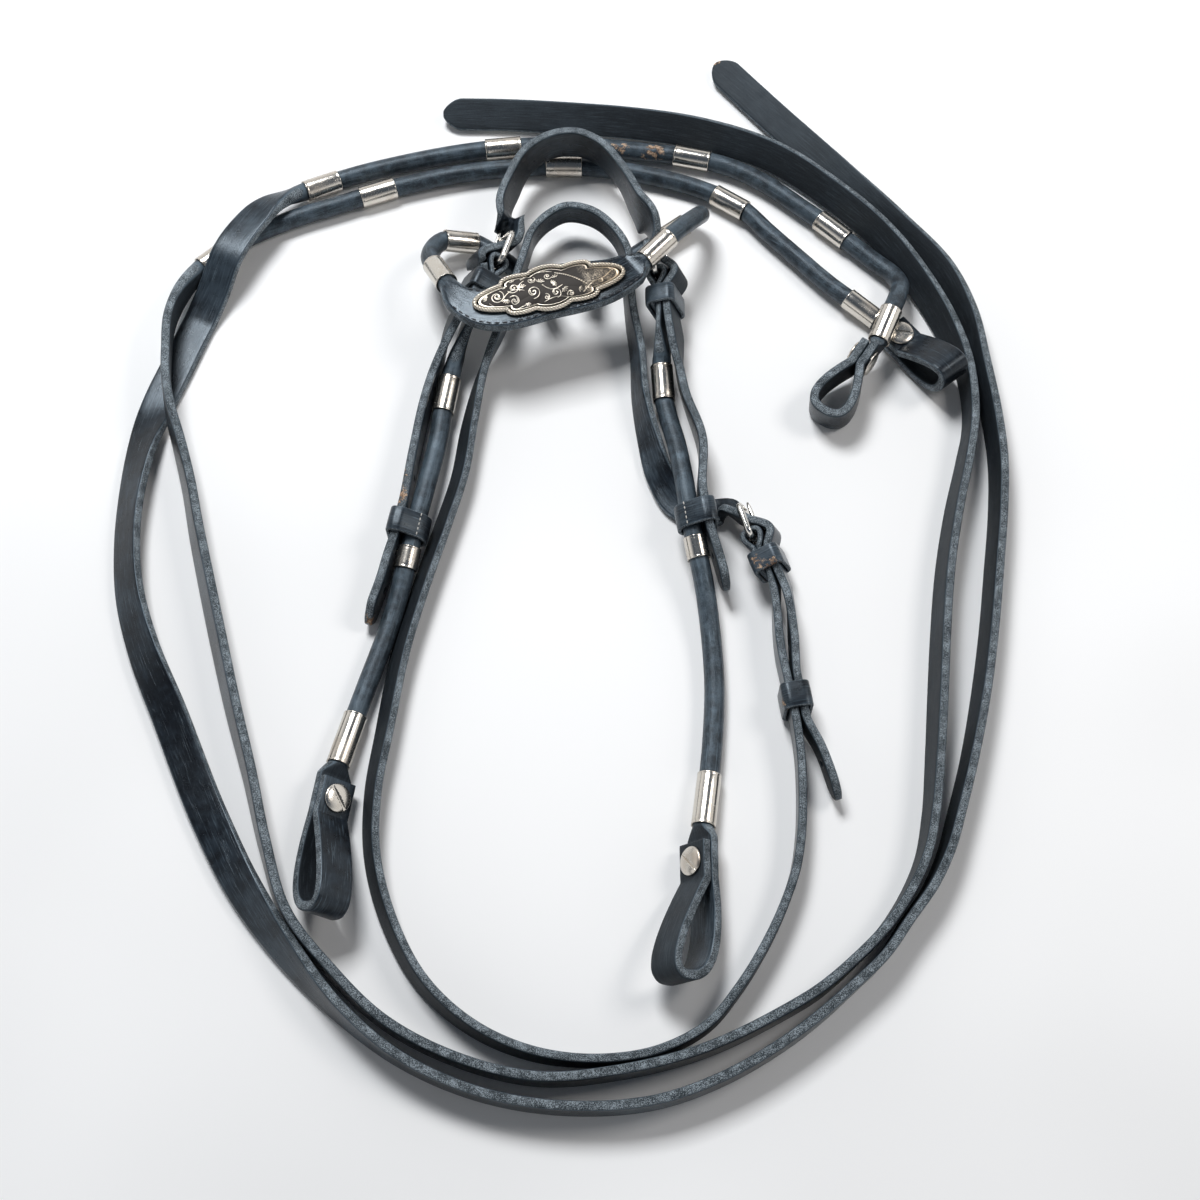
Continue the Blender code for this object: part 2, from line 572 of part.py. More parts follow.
class Cheek:
    """A rolled cheekpiece and the places along its rail that other pieces share."""

    def __init__(self, label, route, hand, up, down, first, last):
        self.label = label
        self.hand = hand
        stations = route_stations(route)
        self.up = unit(up)
        pitch = SKIVED_THICKNESS + GAP
        top, _ = eye_stations(stations[0][0], self.up, stations[0][1], FOLD_LENGTH, FOLD_SWELL,
                              FOLD_TAB, pitch, hand=hand)
        self.down = unit(down)
        self.neck = stations[-1][0]
        bottom, self.screw_side = eye_stations(self.neck, self.down, stations[-1][1], BIT_LOOP_LENGTH,
                                               BIT_LOOP_SWELL, LOOP_TAB, STRAP_THICKNESS + GAP,
                                               LOOP_LIFT, -hand)
        self.rail = Rail(top + stations + bottom[::-1])
        self.fold_neck = self.rail.nearest(stations[0][0])
        self.bit_neck = self.rail.nearest(self.neck)
        self.top_ferrule = self.rail.nearest(np.array(route[first][:3]) * MM)
        self.keeper = self.rail.nearest(np.array(route[last][:3]) * MM)
        self.short_ferrule = self.keeper + KEEPER_LENGTH / 2 + SHORT_FERRULE_LENGTH / 2 + 5 * SLIP
        self.long_ferrule = self.bit_neck - LONG_FERRULE_LENGTH / 2 - NECK_TAPER
        self.small = (self.fold_neck - 0.011, self.fold_neck - 0.0015)
        self.flat = (self.keeper - KEEPER_LENGTH / 2 - KEEPER_SLIDE, self.keeper + KEEPER_LENGTH / 2)
        self.bands = []
        middles = (self.top_ferrule, self.short_ferrule, self.long_ferrule)
        for middle, length in zip(middles, (FERRULE_LENGTH, SHORT_FERRULE_LENGTH, LONG_FERRULE_LENGTH)):
            self.bands.append((middle - length / 2, middle + length / 2))
        self.rail.hold([self.small, self.flat] + self.bands)
        width = self.rail.at(self.fold_neck - FOLD_TAB / 2)[2]
        self.out = -hand * unit(np.cross(self.up, width))
        self.bar_width = np.cross(self.out, self.up)
        self.bar = fold_bar(stations[0][0], self.up, self.out, FOLD_TAB)

    def build(self):
        rail = self.rail
        small, flat, bands = self.small, self.flat, self.bands
        roll_start = bands[0][0] - 0.004
        profile = Profile().add(0.0, STRAP_WIDTH, SKIVED_THICKNESS)
        profile.add(self.fold_neck + 0.008, STRAP_WIDTH, SKIVED_THICKNESS)
        for s in (roll_start, bands[2][1]):
            profile.add(s, ROLL_DIAMETER, ROLL_DIAMETER, ROLL_DIAMETER / 2)
        profile.add(self.bit_neck, STRAP_WIDTH, STRAP_THICKNESS)
        profile.add(rail.length, STRAP_WIDTH, STRAP_THICKNESS)
        spans = [(0.0, small[0], 0.7 * EYE_STEP), (small[1], roll_start, FINE_STEP)]
        spans += [(roll_start, bands[2][0], ROLL_STEP), (bands[2][1], self.bit_neck, NECK_TAPER / 2)]
        spans += [(self.bit_neck, rail.length, EYE_STEP)]
        places = places_along(spans, [small, flat] + bands)
        strap = loft(f"cheekpiece_{self.label}", rail, profile, places, BLACK_LEATHER)
        for name, (start, end) in zip(("top", "middle", "bottom"), bands):
            ferrule(f"cheek_{self.label}_ferrule_{name}", rail, (start + end) / 2, end - start)
        spot = self.neck + SCREW_SHARE * LOOP_TAB * self.down
        chicago_screw(f"cheek_{self.label}", strap, spot, self.down, self.screw_side,
                      2 * STRAP_THICKNESS + GAP)
        roll = [(0.0, 0.0, ROLL_DIAMETER / 2)]
        billet = slab(BILLET_WIDTH, CROWN_THICKNESS, self.hand * self.beside_keeper())
        keeper(f"cheek_{self.label}_keeper", rail.at(self.keeper), KEEPER_LENGTH - 2 * SLIP, roll + billet)
        layers = slab(STRAP_WIDTH, SKIVED_THICKNESS, 0.0)
        layers += slab(STRAP_WIDTH, SKIVED_THICKNESS, -self.hand * (SKIVED_THICKNESS + GAP))
        layers += slab(BILLET_WIDTH, CROWN_THICKNESS, self.hand * self.beside_fold())
        at_fold = rail.at(sum(small) / 2)
        keeper(f"cheek_{self.label}_buckle_keeper", at_fold, small[1] - small[0], layers)
        return strap

    def beside_keeper(self):
        return ROLL_DIAMETER / 2 + 2 * GAP + CROWN_THICKNESS / 2

    def beside_fold(self):
        return SKIVED_THICKNESS / 2 + GAP + CROWN_THICKNESS / 2

    def billet(self, bow, tip):
        """Stations of the crown's billet, from its tip up to the crown side of the buckle."""
        near = self.beside_keeper()
        fold = self.beside_fold()
        half = KEEPER_LENGTH / 2
        past = self.short_ferrule
        entries = [(past + tip, near + 0.0025), (past + 0.5 * tip, near + 0.0018)]
        entries += [(past, near + 0.0009), (self.keeper + half, near), (self.keeper, near)]
        entries += [(self.flat[0], near)]
        middle = (self.keeper + self.top_ferrule) / 2
        entries += [(middle, near + bow), (self.top_ferrule + half, near + 0.7 * bow)]
        entries += [(self.top_ferrule - half, near + 0.3 * bow), (self.fold_neck + 0.012, fold + 0.0028)]
        entries += [(self.fold_neck, fold + GAP), (self.fold_neck - 0.006, fold), (self.fold_neck - 0.011, fold)]
        stations = []
        for s, offset in entries:
            centre, _, width, side = self.rail.at(s)
            stations.append((centre + self.hand * offset * side, width))
        return stations + over_bars(self.bar, self.up, self.out, self.bar_width, CROWN_THICKNESS, BUCKLE_LENGTH)


def fold_bar(neck, up, out, tab):
    """Centre of a buckle's heel bar inside the fold of a strap."""
    run = tab + FOLD_LENGTH - SKIVED_THICKNESS / 2 - GAP - BUCKLE_WIRE / 2 - GAP
    return neck + run * up - (SKIVED_THICKNESS + GAP) / 2 * out


def over_bars(bar, up, out, width, thickness, length):
    """Stations of a billet from above the heel bar to below the far bar of a buckle."""
    high = BUCKLE_WIRE / 2 + 2 * GAP + SKIVED_THICKNESS + 8 * GAP + thickness / 2
    low = BUCKLE_WIRE / 2 + 4 * GAP + thickness / 2
    crossing = [(0.0, high), (0.58 * length, 0.25 * (high - low))]
    crossing += [(length, -low), (BILLET_RUN * length, -low)]
    return [(bar + run * up + offset * out, width) for run, offset in crossing]


def buckle(label, fold, billet, bar, up, out, width, strap_width, length):
    """A wire frame on its folded strap, with a tongue that turns on the heel bar."""
    half = strap_width / 2 + 2 * SLIP + BUCKLE_WIRE / 2
    path = []
    for corner, (u, w) in enumerate(((length, half), (0.0, half), (0.0, -half), (length, -half))):
        inset_u = u - BUCKLE_CORNER if u else BUCKLE_CORNER
        inset_w = w - math.copysign(BUCKLE_CORNER, w)
        for k in range(4):
            angle = (corner + k / 3) * math.pi / 2
            bend_u, bend_w = BUCKLE_CORNER * math.cos(angle), BUCKLE_CORNER * math.sin(angle)
            path.append((inset_u + bend_u, inset_w + bend_w))
    centres = [bar + u * up + w * width for u, w in path]
    rings = sweep_planar(centres, np.cross(up, width), BUCKLE_WIRE / 2, True)
    add_mesh(label + "_buckle", np.vstack(rings), bridge(rings, True), STEEL, bar)

    reach = BUCKLE_WIRE / 2 + GAP + TONGUE_WIRE / 2
    arcs = [math.radians(angle) for angle in range(320, 89, -23)]
    centres = [bar + reach * (math.cos(angle) * up + math.sin(angle) * out) for angle in arcs]
    centres += [bar + run * up + reach * out for run in (0.35 * length, length, length + BUCKLE_WIRE)]
    rings = sweep_planar(centres, width, TONGUE_WIRE / 2, False)
    add_mesh(label + "_buckle_tongue", np.vstack(rings), bridge(rings, False), STEEL, bar)

    slot = (2.9 * reach + TONGUE_WIRE, TONGUE_WIRE + 2 * SLIP, 5 * reach)
    cut(fold, box_cutter(label + "_slot_cutter", bar, (up, width, out), slot))
    start = bar + reach * out + 0.1 * length * up
    cut(billet, cylinder_cutter(label + "_billet_hole_cutter", start, start + 1.5 * length * up,
                                TONGUE_WIRE / 2 + SLIP))


def punch(strap, rail, spots):
    """Round buckle holes through a strap at distances along its rail."""
    for k, s in enumerate(spots, 1):
        centre, _, _, side = rail.at(s)
        reach = STRAP_THICKNESS * side
        label = f"{strap.name}_punch_{k}"
        cut(strap, cylinder_cutter(label, centre - reach, centre + reach, HOLE_DIAMETER / 2, 8))


def sweep_planar(centres, normal, radius, closed, sides=8):
    """Rings of a round wire whose centre line lies in a plane."""
    centres = np.array(centres)
    if closed:
        travel = np.roll(centres, -1, axis=0) - np.roll(centres, 1, axis=0)
    else:
        travel = np.gradient(centres, axis=0)
    rings = []
    for centre, ahead in zip(centres, travel):
        outward = np.cross(unit(ahead), unit(normal))
        angles = [2 * math.pi * (k + 0.5) / sides for k in range(sides)]
        circle = np.array([math.cos(a) * unit(normal) + math.sin(a) * outward for a in angles])
        rings.append(centre + radius * circle)
    return rings


def crown_strap(left, right):
    """The strap over the poll, with a billet down each cheek."""
    ends_right = right.billet(0.0045, 0.021)[::-1]
    rail = Rail(left.billet(0.002, 0.034) + route_stations(CROWN_ARCH_ROUTE) + ends_right)
    ends = []
    straight = []
    profile = Profile()
    for cheek in (left, right):
        for (s0, s1), offset in ((cheek.flat, cheek.beside_keeper()), (cheek.small, cheek.beside_fold())):
            found = []
            for s in (s0, s1):
                centre, _, _, side = cheek.rail.at(s)
                found.append(rail.nearest(centre + cheek.hand * offset * side))
            straight.append((min(found), max(found)))
        ends.append(rail.nearest(cheek.bar + BILLET_RUN * BUCKLE_LENGTH * cheek.up))
    rail.hold(straight)
    profile.add(0.0, 0.22 * BILLET_WIDTH, 0.8 * CROWN_THICKNESS)
    profile.add(0.18 * TIP_LENGTH, 0.5 * BILLET_WIDTH, 0.94 * CROWN_THICKNESS)
    profile.add(0.55 * TIP_LENGTH, 0.8 * BILLET_WIDTH, CROWN_THICKNESS)
    profile.add(TIP_LENGTH, BILLET_WIDTH, CROWN_THICKNESS)
    profile.add(ends[0], BILLET_WIDTH, CROWN_THICKNESS)
    profile.add(ends[0] + 0.012, CROWN_WIDTH, CROWN_THICKNESS)
    profile.add(ends[1] - 0.012, CROWN_WIDTH, CROWN_THICKNESS)
    profile.add(ends[1], BILLET_WIDTH, CROWN_THICKNESS)
    tip = pointed(profile, rail.length, BILLET_WIDTH, CROWN_THICKNESS)
    spans = [(TIP_LENGTH, ends[0] - 0.03, FINE_STEP), (ends[0] - 0.03, ends[0], 0.4 * FINE_STEP)]
    spans += [(ends[0], ends[1], FINE_STEP), (ends[1], ends[1] + 0.03, 0.4 * FINE_STEP)]
    spans += [(ends[1] + 0.03, tip[0], FINE_STEP)]
    places = [share * TIP_LENGTH for share in (0.0, 0.18, 0.55)] + places_along(spans, straight) + tip[1:]
    strap = loft("crown_strap", rail, profile, places, BLACK_LEATHER, sides=8)
    holes = [FIRST_HOLE + k * HOLE_PITCH for k in range(HOLE_COUNT)]
    punch(strap, rail, holes + [rail.length - s for s in holes[:3]])
    return strap


def throatlatch():
    """One strap from its buckle, down round the throat, over the poll and back through the buckle."""
    near = route_stations(THROAT_BUCKLE_ROUTE)
    neck, lead = near[0]
    up = unit((-0.3, 0.95, 0.0))
    fold, side = eye_stations(neck, up, lead, FOLD_LENGTH, FOLD_SWELL, FOLD_TAB,
                              SKIVED_THICKNESS + GAP, hand=-1)
    first = Rail(fold + near + route_stations(THROAT_LOOP_ROUTE[:3]))
    neck_s = first.nearest(neck)
    out = -unit(side)
    width = np.cross(out, up)
    bar = fold_bar(neck, up, out, FOLD_TAB)
    low_s = first.nearest(np.array(THROAT_BUCKLE_ROUTE[4][:3]) * MM)
    upper = (neck_s - 0.0115, neck_s - 0.0015)
    lower = (low_s - KEEPER_LENGTH / 2 - KEEPER_SLIDE, low_s + KEEPER_LENGTH / 2 + KEEPER_SLIDE)
    first.hold([upper, lower])
    beside = SKIVED_THICKNESS / 2 + 2 * GAP + THROAT_THICKNESS / 2
    offset = THROAT_THICKNESS + 2 * GAP
    spread = [(upper[0], beside), (sum(upper) / 2, beside), (upper[1], beside)]
    spread += [(neck_s + 0.006, offset + 0.0006), ((neck_s + low_s) / 2, offset + 0.0022)]
    spread += [(lower[0], offset), (low_s, offset), (lower[1], offset)]
    spread += [(low_s + 0.022, offset + 0.0045), (low_s + 0.044, offset + 0.0115)]
    billet = []
    for s, along in spread:
        centre, _, direction, away = first.at(s)
        billet.append((centre - along * away, -direction))
    arrive = over_bars(bar, up, out, -width, THROAT_THICKNESS, THROAT_BUCKLE_LENGTH)[2::-1]
    rail = Rail(fold + near + route_stations(THROAT_LOOP_ROUTE) + arrive + billet)
    straight = []
    for span, away_by in ((upper, beside), (lower, offset)):
        ends = []
        for place in span:
            centre, _, _, away = first.at(place)
            late = rail.s > 0.5 * rail.length
            gaps = np.linalg.norm(rail.centre - (centre - away_by * away), axis=1)
            ends.append(rail.s[np.argmin(np.where(late, gaps, 1.0))])
        straight += [span, (min(ends), max(ends))]
    rail.hold(straight)
    gaps = np.linalg.norm(rail.centre - (bar + BILLET_RUN * THROAT_BUCKLE_LENGTH * up), axis=1)
    pass_s = rail.s[np.argmin(np.where(rail.s > 0.5 * rail.length, gaps, 1.0))]
    profile = Profile().add(0.0, THROAT_WIDTH, SKIVED_THICKNESS)
    profile.add(neck_s, THROAT_WIDTH, SKIVED_THICKNESS)
    profile.add(neck_s + 0.006, THROAT_WIDTH, THROAT_THICKNESS)
    tip = pointed(profile, rail.length, THROAT_WIDTH, THROAT_THICKNESS)
    spans = [(0.0, upper[0], 0.7 * EYE_STEP), (upper[1], lower[1] + 0.01, FINE_STEP)]
    spans += [(lower[1] + 0.01, pass_s - 0.03, 1.3 * FINE_STEP), (pass_s - 0.03, pass_s + 0.035, 0.4 * FINE_STEP)]
    spans += [(pass_s + 0.035, tip[0], FINE_STEP)]
    places = places_along(spans, straight) + tip[1:]
    strap = loft("throatlatch_strap", rail, profile, places, BLACK_LEATHER, sides=8)
    punch(strap, rail, [rail.length - FIRST_HOLE - k * HOLE_PITCH for k in range(HOLE_COUNT)])
    fold_layers = slab(THROAT_WIDTH, SKIVED_THICKNESS, 0.0)
    fold_layers += slab(THROAT_WIDTH, SKIVED_THICKNESS, SKIVED_THICKNESS + GAP)
    fold_layers += slab(THROAT_WIDTH, THROAT_THICKNESS, -beside)
    keeper("throatlatch_keeper_upper", first.at(sum(upper) / 2), upper[1] - upper[0], fold_layers)
    both = slab(THROAT_WIDTH, THROAT_THICKNESS, 0.0) + slab(THROAT_WIDTH, THROAT_THICKNESS, -offset)
    keeper("throatlatch_keeper_lower", first.at(low_s), KEEPER_LENGTH - 2 * SLIP, both)
    buckle("throatlatch", strap, strap, bar, up, out, width, THROAT_WIDTH, THROAT_BUCKLE_LENGTH)
    return strap


def browband():
    """The padded band with a rolled loop and two ferrules at each end."""
    rail = Rail(route_stations(BROWBAND_ROUTE))

    def landmark(k):
        return rail.nearest(np.array(BROWBAND_ROUTE[k][:3]) * MM)

    rolls = [(0.012, landmark(10)), (landmark(16) - FERRULE_LENGTH / 2, rail.length - 0.012)]
    middle = landmark(13)
    bands = [(landmark(6), FERRULE_LENGTH), (landmark(9) + 0.003, FERRULE_LENGTH)]
    bands += [(landmark(16), FERRULE_LENGTH), (landmark(21), FERRULE_LENGTH)]
    profile = Profile()
    for s in (0.0, 0.004, rail.length - 0.004, rail.length):
        profile.add(s, 1.2 * ROLL_DIAMETER, 0.55 * ROLL_DIAMETER, 0.2 * ROLL_DIAMETER)
    for start, end in rolls:
        profile.add(start, ROLL_DIAMETER, ROLL_DIAMETER, ROLL_DIAMETER / 2)
        profile.add(end, ROLL_DIAMETER, ROLL_DIAMETER, ROLL_DIAMETER / 2)
    profile.add(landmark(11) + 0.004, BROWBAND_END_WIDTH, BROWBAND_THICKNESS)
    profile.add(landmark(15) - 0.004, BROWBAND_END_WIDTH, BROWBAND_THICKNESS)
    for share in (-0.42, -0.2, 0.0, 0.2, 0.42):
        width = BROWBAND_WIDTH - (BROWBAND_WIDTH - BROWBAND_END_WIDTH) * (BAND_WAIST * share) ** 2
        profile.add(middle + share * PLATE_LENGTH, width, BROWBAND_THICKNESS)
    straight = [(place - length / 2, place + length / 2) for place, length in bands]
    rail.hold(straight)
    spans = [(0.0, rail.length, 0.7 * FINE_STEP)]
    strap = loft("browband", rail, profile, places_along(spans, straight), BLACK_LEATHER)
    names = ("left_lower", "left_upper", "right_upper", "right_lower")
    for name, (place, length) in zip(names, bands):
        ferrule("browband_ferrule_" + name, rail, place, length)
    plate(strap, rail.at(middle))


def plate_edge(angle, inset=0.0):
    """Scalloped outline of the plate at an angle, as length and height offsets."""
    across = PLATE_LENGTH / 2 - inset
    up = PLATE_HEIGHT / 2 - inset
    turn = (math.degrees(angle) - PLATE_CUSPS[0]) % 360 + PLATE_CUSPS[0]
    lobe = max(k for k, cusp in enumerate(PLATE_CUSPS[:-1]) if cusp <= turn)
    share = (turn - PLATE_CUSPS[lobe]) / (PLATE_CUSPS[lobe + 1] - PLATE_CUSPS[lobe])
    scallop = 1 - LOBE_DEPTH / up * (1 - math.sin(math.pi * share))
    bulge = 1 + 0.035 * math.cos(2 * angle) ** 2
    return across * math.cos(angle) * scallop, up * math.sin(angle) * scallop * bulge


def plate(band, frame):
    """Engraved silver plate with a twisted-rope edge and two screws from the back."""
    centre, travel, width, side = frame
    base = centre + (BROWBAND_THICKNESS / 2 + GAP) * side
    angles = [2 * math.pi * (k + 0.5) / 64 for k in range(64)]

    def ring(inset, height):
        edge = np.array([plate_edge(angle, inset) for angle in angles])
        return base + edge @ np.array([travel, width]) + height * side

    rim = ROPE_DIAMETER + 2 * GAP
    rings = [ring(rim + 0.0001, 0.0), ring(rim, 0.0003), ring(rim, PLATE_THICKNESS)]
    rings += [ring(rim + 0.0012, PLATE_THICKNESS + 0.4 * PLATE_CROWN)]
    rings += [ring(0.75 * PLATE_HEIGHT / 2, PLATE_THICKNESS + PLATE_CROWN)]
    body = add_mesh("browband_plate", np.vstack(rings), bridge(rings, False), ANTIQUE_SILVER, base)

    path = [2 * math.pi * k / 96 for k in range(96)]
    edge = np.array([plate_edge(angle, ROPE_DIAMETER / 2) for angle in path])
    centres = base + edge @ np.array([travel, width]) + (ROPE_DIAMETER / 2 + 0.0001) * side
    ahead = np.roll(centres, -1, axis=0) - np.roll(centres, 1, axis=0)
    rings = []
    for k, (point, way) in enumerate(zip(centres, ahead)):
        outward = np.cross(unit(way), side)
        turn = 2 * math.pi * ROPE_TWISTS * k / len(centres) / 2
        strand = []
        for a in [2 * math.pi * (j + 0.5) / 6 for j in range(6)]:
            radius = ROPE_DIAMETER / 2 * (0.86 + 0.14 * math.cos(2 * (a - turn)))
            strand.append(point + radius * (math.cos(a) * side + math.sin(a) * outward))
        rings.append(np.array(strand))
    add_mesh("plate_rope_edge", np.vstack(rings), bridge(rings, True), ANTIQUE_SILVER, base)

    for label, sign in (("left", -1), ("right", 1)):
        foot = centre + sign * PLATE_SCREW_SPACING / 2 * travel - (BROWBAND_THICKNESS / 2 + GAP) * side
        shank = SHANK_DIAMETER / 2
        head = 0.0045
        rows = [(-0.0012, 0.7 * head), (-0.0007, head), (0.0, head), (0.0, shank)]
        rows += [(BROWBAND_THICKNESS + 2 * GAP + 0.6 * PLATE_THICKNESS, shank)]
        turned("plate_screw_" + label, foot, side, rows, 10, STEEL)
        top = foot + (BROWBAND_THICKNESS + 2 * GAP + 0.8 * PLATE_THICKNESS) * side
        hole = cylinder_cutter(f"plate_hole_cutter_{label}", foot - 0.01 * side, top, shank + GAP, 10)
        cut(band, hole)
        cut(body, hole)


def centre_layout():
    """Puts the origin below the middle of the whole layout, on the surface it lies on."""
    bpy.context.view_layer.update()
    graph = bpy.context.evaluated_depsgraph_get()
    corners = []
    for obj in PART.objects:
        if obj.type == "MESH":
            mesh = obj.evaluated_get(graph).to_mesh()
            corners += [tuple(obj.matrix_world @ vertex.co) for vertex in mesh.vertices]
    corners = np.array(corners)
    low, high = corners.min(axis=0), corners.max(axis=0)
    LAYOUT.location = (-(low[0] + high[0]) / 2, -(low[1] + high[1]) / 2, -low[2])


def build():
    rein("outer", (130.5, 124.5, 14.6), (-0.55, -0.82, -0.13), (0, 0, 1), 0.0, OUTER_ROLL_ROUTE,
         OUTER_STRAP_ROUTE, OUTER_FIRST_FERRULE, OUTER_FERRULES, resting=(4, 5))
    rein("inner", (139, 141.2, 4.3), (0.62, -0.785, 0), (0.785, 0.62, 0), LOOP_LIFT, INNER_ROLL_ROUTE,
         INNER_STRAP_ROUTE, INNER_ROLL_ROUTE[0][:3], INNER_FERRULES)
    left = Cheek("left", LEFT_CHEEK_ROUTE, 1, (0.3, 0.95, 0.0), (-0.16, -1.0, 0.0), 4, 7)
    right = Cheek("right", RIGHT_CHEEK_ROUTE, -1, (0.02, 1.0, 0.0), (0.0, -1.0, 0.0), 3, 7)
    crown = crown_strap(left, right)
    for cheek in (left, right):
        strap = cheek.build()
        buckle("cheek_" + cheek.label, strap, crown, cheek.bar, cheek.up, cheek.out, cheek.bar_width,
               STRAP_WIDTH, BUCKLE_LENGTH)
    throatlatch()
    browband()
    centre_layout()


build()
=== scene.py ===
import json
import math

import bpy
import numpy as np
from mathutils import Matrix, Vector


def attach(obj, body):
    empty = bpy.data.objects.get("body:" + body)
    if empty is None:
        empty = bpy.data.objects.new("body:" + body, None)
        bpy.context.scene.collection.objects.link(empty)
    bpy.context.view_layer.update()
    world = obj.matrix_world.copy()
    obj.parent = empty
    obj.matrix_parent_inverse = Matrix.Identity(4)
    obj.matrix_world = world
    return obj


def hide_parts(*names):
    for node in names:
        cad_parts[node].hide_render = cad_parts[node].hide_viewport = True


# Headstall and split reins, laid out as in the photograph. All lengths in metres.

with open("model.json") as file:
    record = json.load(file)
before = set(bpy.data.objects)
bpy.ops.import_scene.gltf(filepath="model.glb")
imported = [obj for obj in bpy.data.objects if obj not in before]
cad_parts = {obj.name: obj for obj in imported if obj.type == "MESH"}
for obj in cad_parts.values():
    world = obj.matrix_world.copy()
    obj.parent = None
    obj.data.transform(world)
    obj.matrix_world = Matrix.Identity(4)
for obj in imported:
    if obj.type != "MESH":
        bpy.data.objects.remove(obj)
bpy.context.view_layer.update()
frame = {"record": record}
scene = bpy.context.scene
bodyOf = {node: body for body, nodes in frame["record"]["behaviour"]["bodies"].items() for node in nodes}
print("frame loaded:", len(bodyOf), "nodes")

layout = {
    "shift": (0.01725674, -0.03756164, -0.0),  # from the routes' own zero to the frame's origin
    "clearance": 0.0003,
    "slip": 0.0006,
}
gap, slip = layout["clearance"], layout["slip"]  # between parts that touch, and round what slides
strapCut = {"width": 0.016, "thickness": 0.0042, "skived": 0.0026, "corner": 0.0011, "tip": 0.010,
            "thicken": 0.006, "restHeight": 0.002}
rollCut = {"diameter": 0.009, "taper": 0.006, "flatten": 0.03, "lead": 0.004}
eyeCut = {
    "rein": {"tab": 0.0145, "length": 0.028, "swell": 0.0095},
    "bit": {"tab": 0.019, "length": 0.0415, "swell": 0.0105},
    "fold": {"tab": 0.014, "length": 0.009, "swell": 0.0042},
    "lift": 1.25, "screwShare": 0.55,
}


def unit(vector):
    vector = np.asarray(vector, float)
    return vector / np.linalg.norm(vector)


def inFrame(points):
    return np.asarray(points, float) + layout["shift"]


def placeOf(entry):
    # the place of a route entry, whose first three values are in millimetres
    return np.array(entry[:3], float) / 1000


class Rail:
    # a smooth centre line through chosen points, with the direction of the strap's width

    def __init__(self, stations):
        points = np.array([centre for centre, _ in stations], float)
        widths = np.array([width for _, width in stations], float)
        knots = np.concatenate([[0.0], np.cumsum(np.linalg.norm(np.diff(points, axis=0), axis=1))])
        grid = np.linspace(0.0, knots[-1], int(knots[-1] / 0.001) + 2)
        values = self.cubic(knots, np.hstack([points, widths]), grid)
        self.centre = values[:, :3]
        self.s = np.concatenate([[0.0], np.cumsum(np.linalg.norm(np.diff(self.centre, axis=0), axis=1))])
        tangent = np.gradient(self.centre, self.s, axis=0)
        self.tangent = tangent / np.linalg.norm(tangent, axis=1)[:, None]
        width = values[:, 3:] - (values[:, 3:] * self.tangent).sum(axis=1)[:, None] * self.tangent
        self.width = width / np.linalg.norm(width, axis=1)[:, None]
        self.length = self.s[-1]
        self.held = []

    @staticmethod
    def cubic(knots, data, grid):
        span = np.diff(knots)[:, None]
        chord = np.diff(data, axis=0) / span
        slope = np.empty_like(data)
        slope[0] = chord[0]
        slope[-1] = chord[-1]
        slope[1:-1] = (chord[:-1] * span[1:] + chord[1:] * span[:-1]) / (span[1:] + span[:-1])
        cell = np.clip(np.searchsorted(knots, grid, side="right") - 1, 0, len(knots) - 2)
        width = span[cell]
        u = ((grid - knots[cell]) / width[:, 0])[:, None]
        start = (1 + 2 * u) * (1 - u) ** 2 * data[cell] + u * (1 - u) ** 2 * width * slope[cell]
        end = u * u * (3 - 2 * u) * data[cell + 1] - u * u * (1 - u) * width * slope[cell + 1]
        return start + end

    def hold(self, spans, resting=False):
        # straight stretches, where something is crimped or slipped on, or the strap lies level
        for start, end in spans:
            (first, _, widthA, _), (last, _, widthB, _) = self.at(start), self.at(end)
            width = widthA + widthB
            if resting:
                first, last = (np.append(place[:2], strapCut["restHeight"]) for place in (first, last))
                width = np.append(width[:2], 0.0)
            travel = unit(last - first)
            self.held.append((start, end, first, last, unit(width - (width @ travel) * travel)))

    def at(self, s):
        for start, end, first, last, width in self.held:
            if start <= s <= end:
                travel = unit(last - first)
                centre = first + (s - start) / (end - start) * (last - first)
                return centre, travel, width, np.cross(travel, width)
        centre = np.array([np.interp(s, self.s, self.centre[:, k]) for k in range(3)])
        travel = unit([np.interp(s, self.s, self.tangent[:, k]) for k in range(3)])
        width = np.array([np.interp(s, self.s, self.width[:, k]) for k in range(3)])
        width = unit(width - (width @ travel) * travel)
        return centre, travel, width, np.cross(travel, width)

    def beside(self, s, offset):
        # a station beside the rail
        centre, _, width, side = self.at(s)
        return centre + offset * side, width

    def nearest(self, point, after=-1.0):
        away = np.linalg.norm(self.centre - point, axis=1)
        return self.s[np.argmin(np.where(self.s > after, away, 1.0))]


def routeStations(route):
    # each route entry is x, y, height of the centre in millimetres, and lean from upright in degrees
    points = np.array([placeOf(entry) for entry in route])
    stations = []
    for point, ahead, entry in zip(points, np.gradient(points, axis=0), route):
        lean = math.radians(entry[3])
        flat = unit((ahead[0], ahead[1], 0.0))
        right = np.array((flat[1], -flat[0], 0.0))
        stations.append((point, math.cos(lean) * np.array((0.0, 0.0, 1.0)) + math.sin(lean) * right))
    return stations


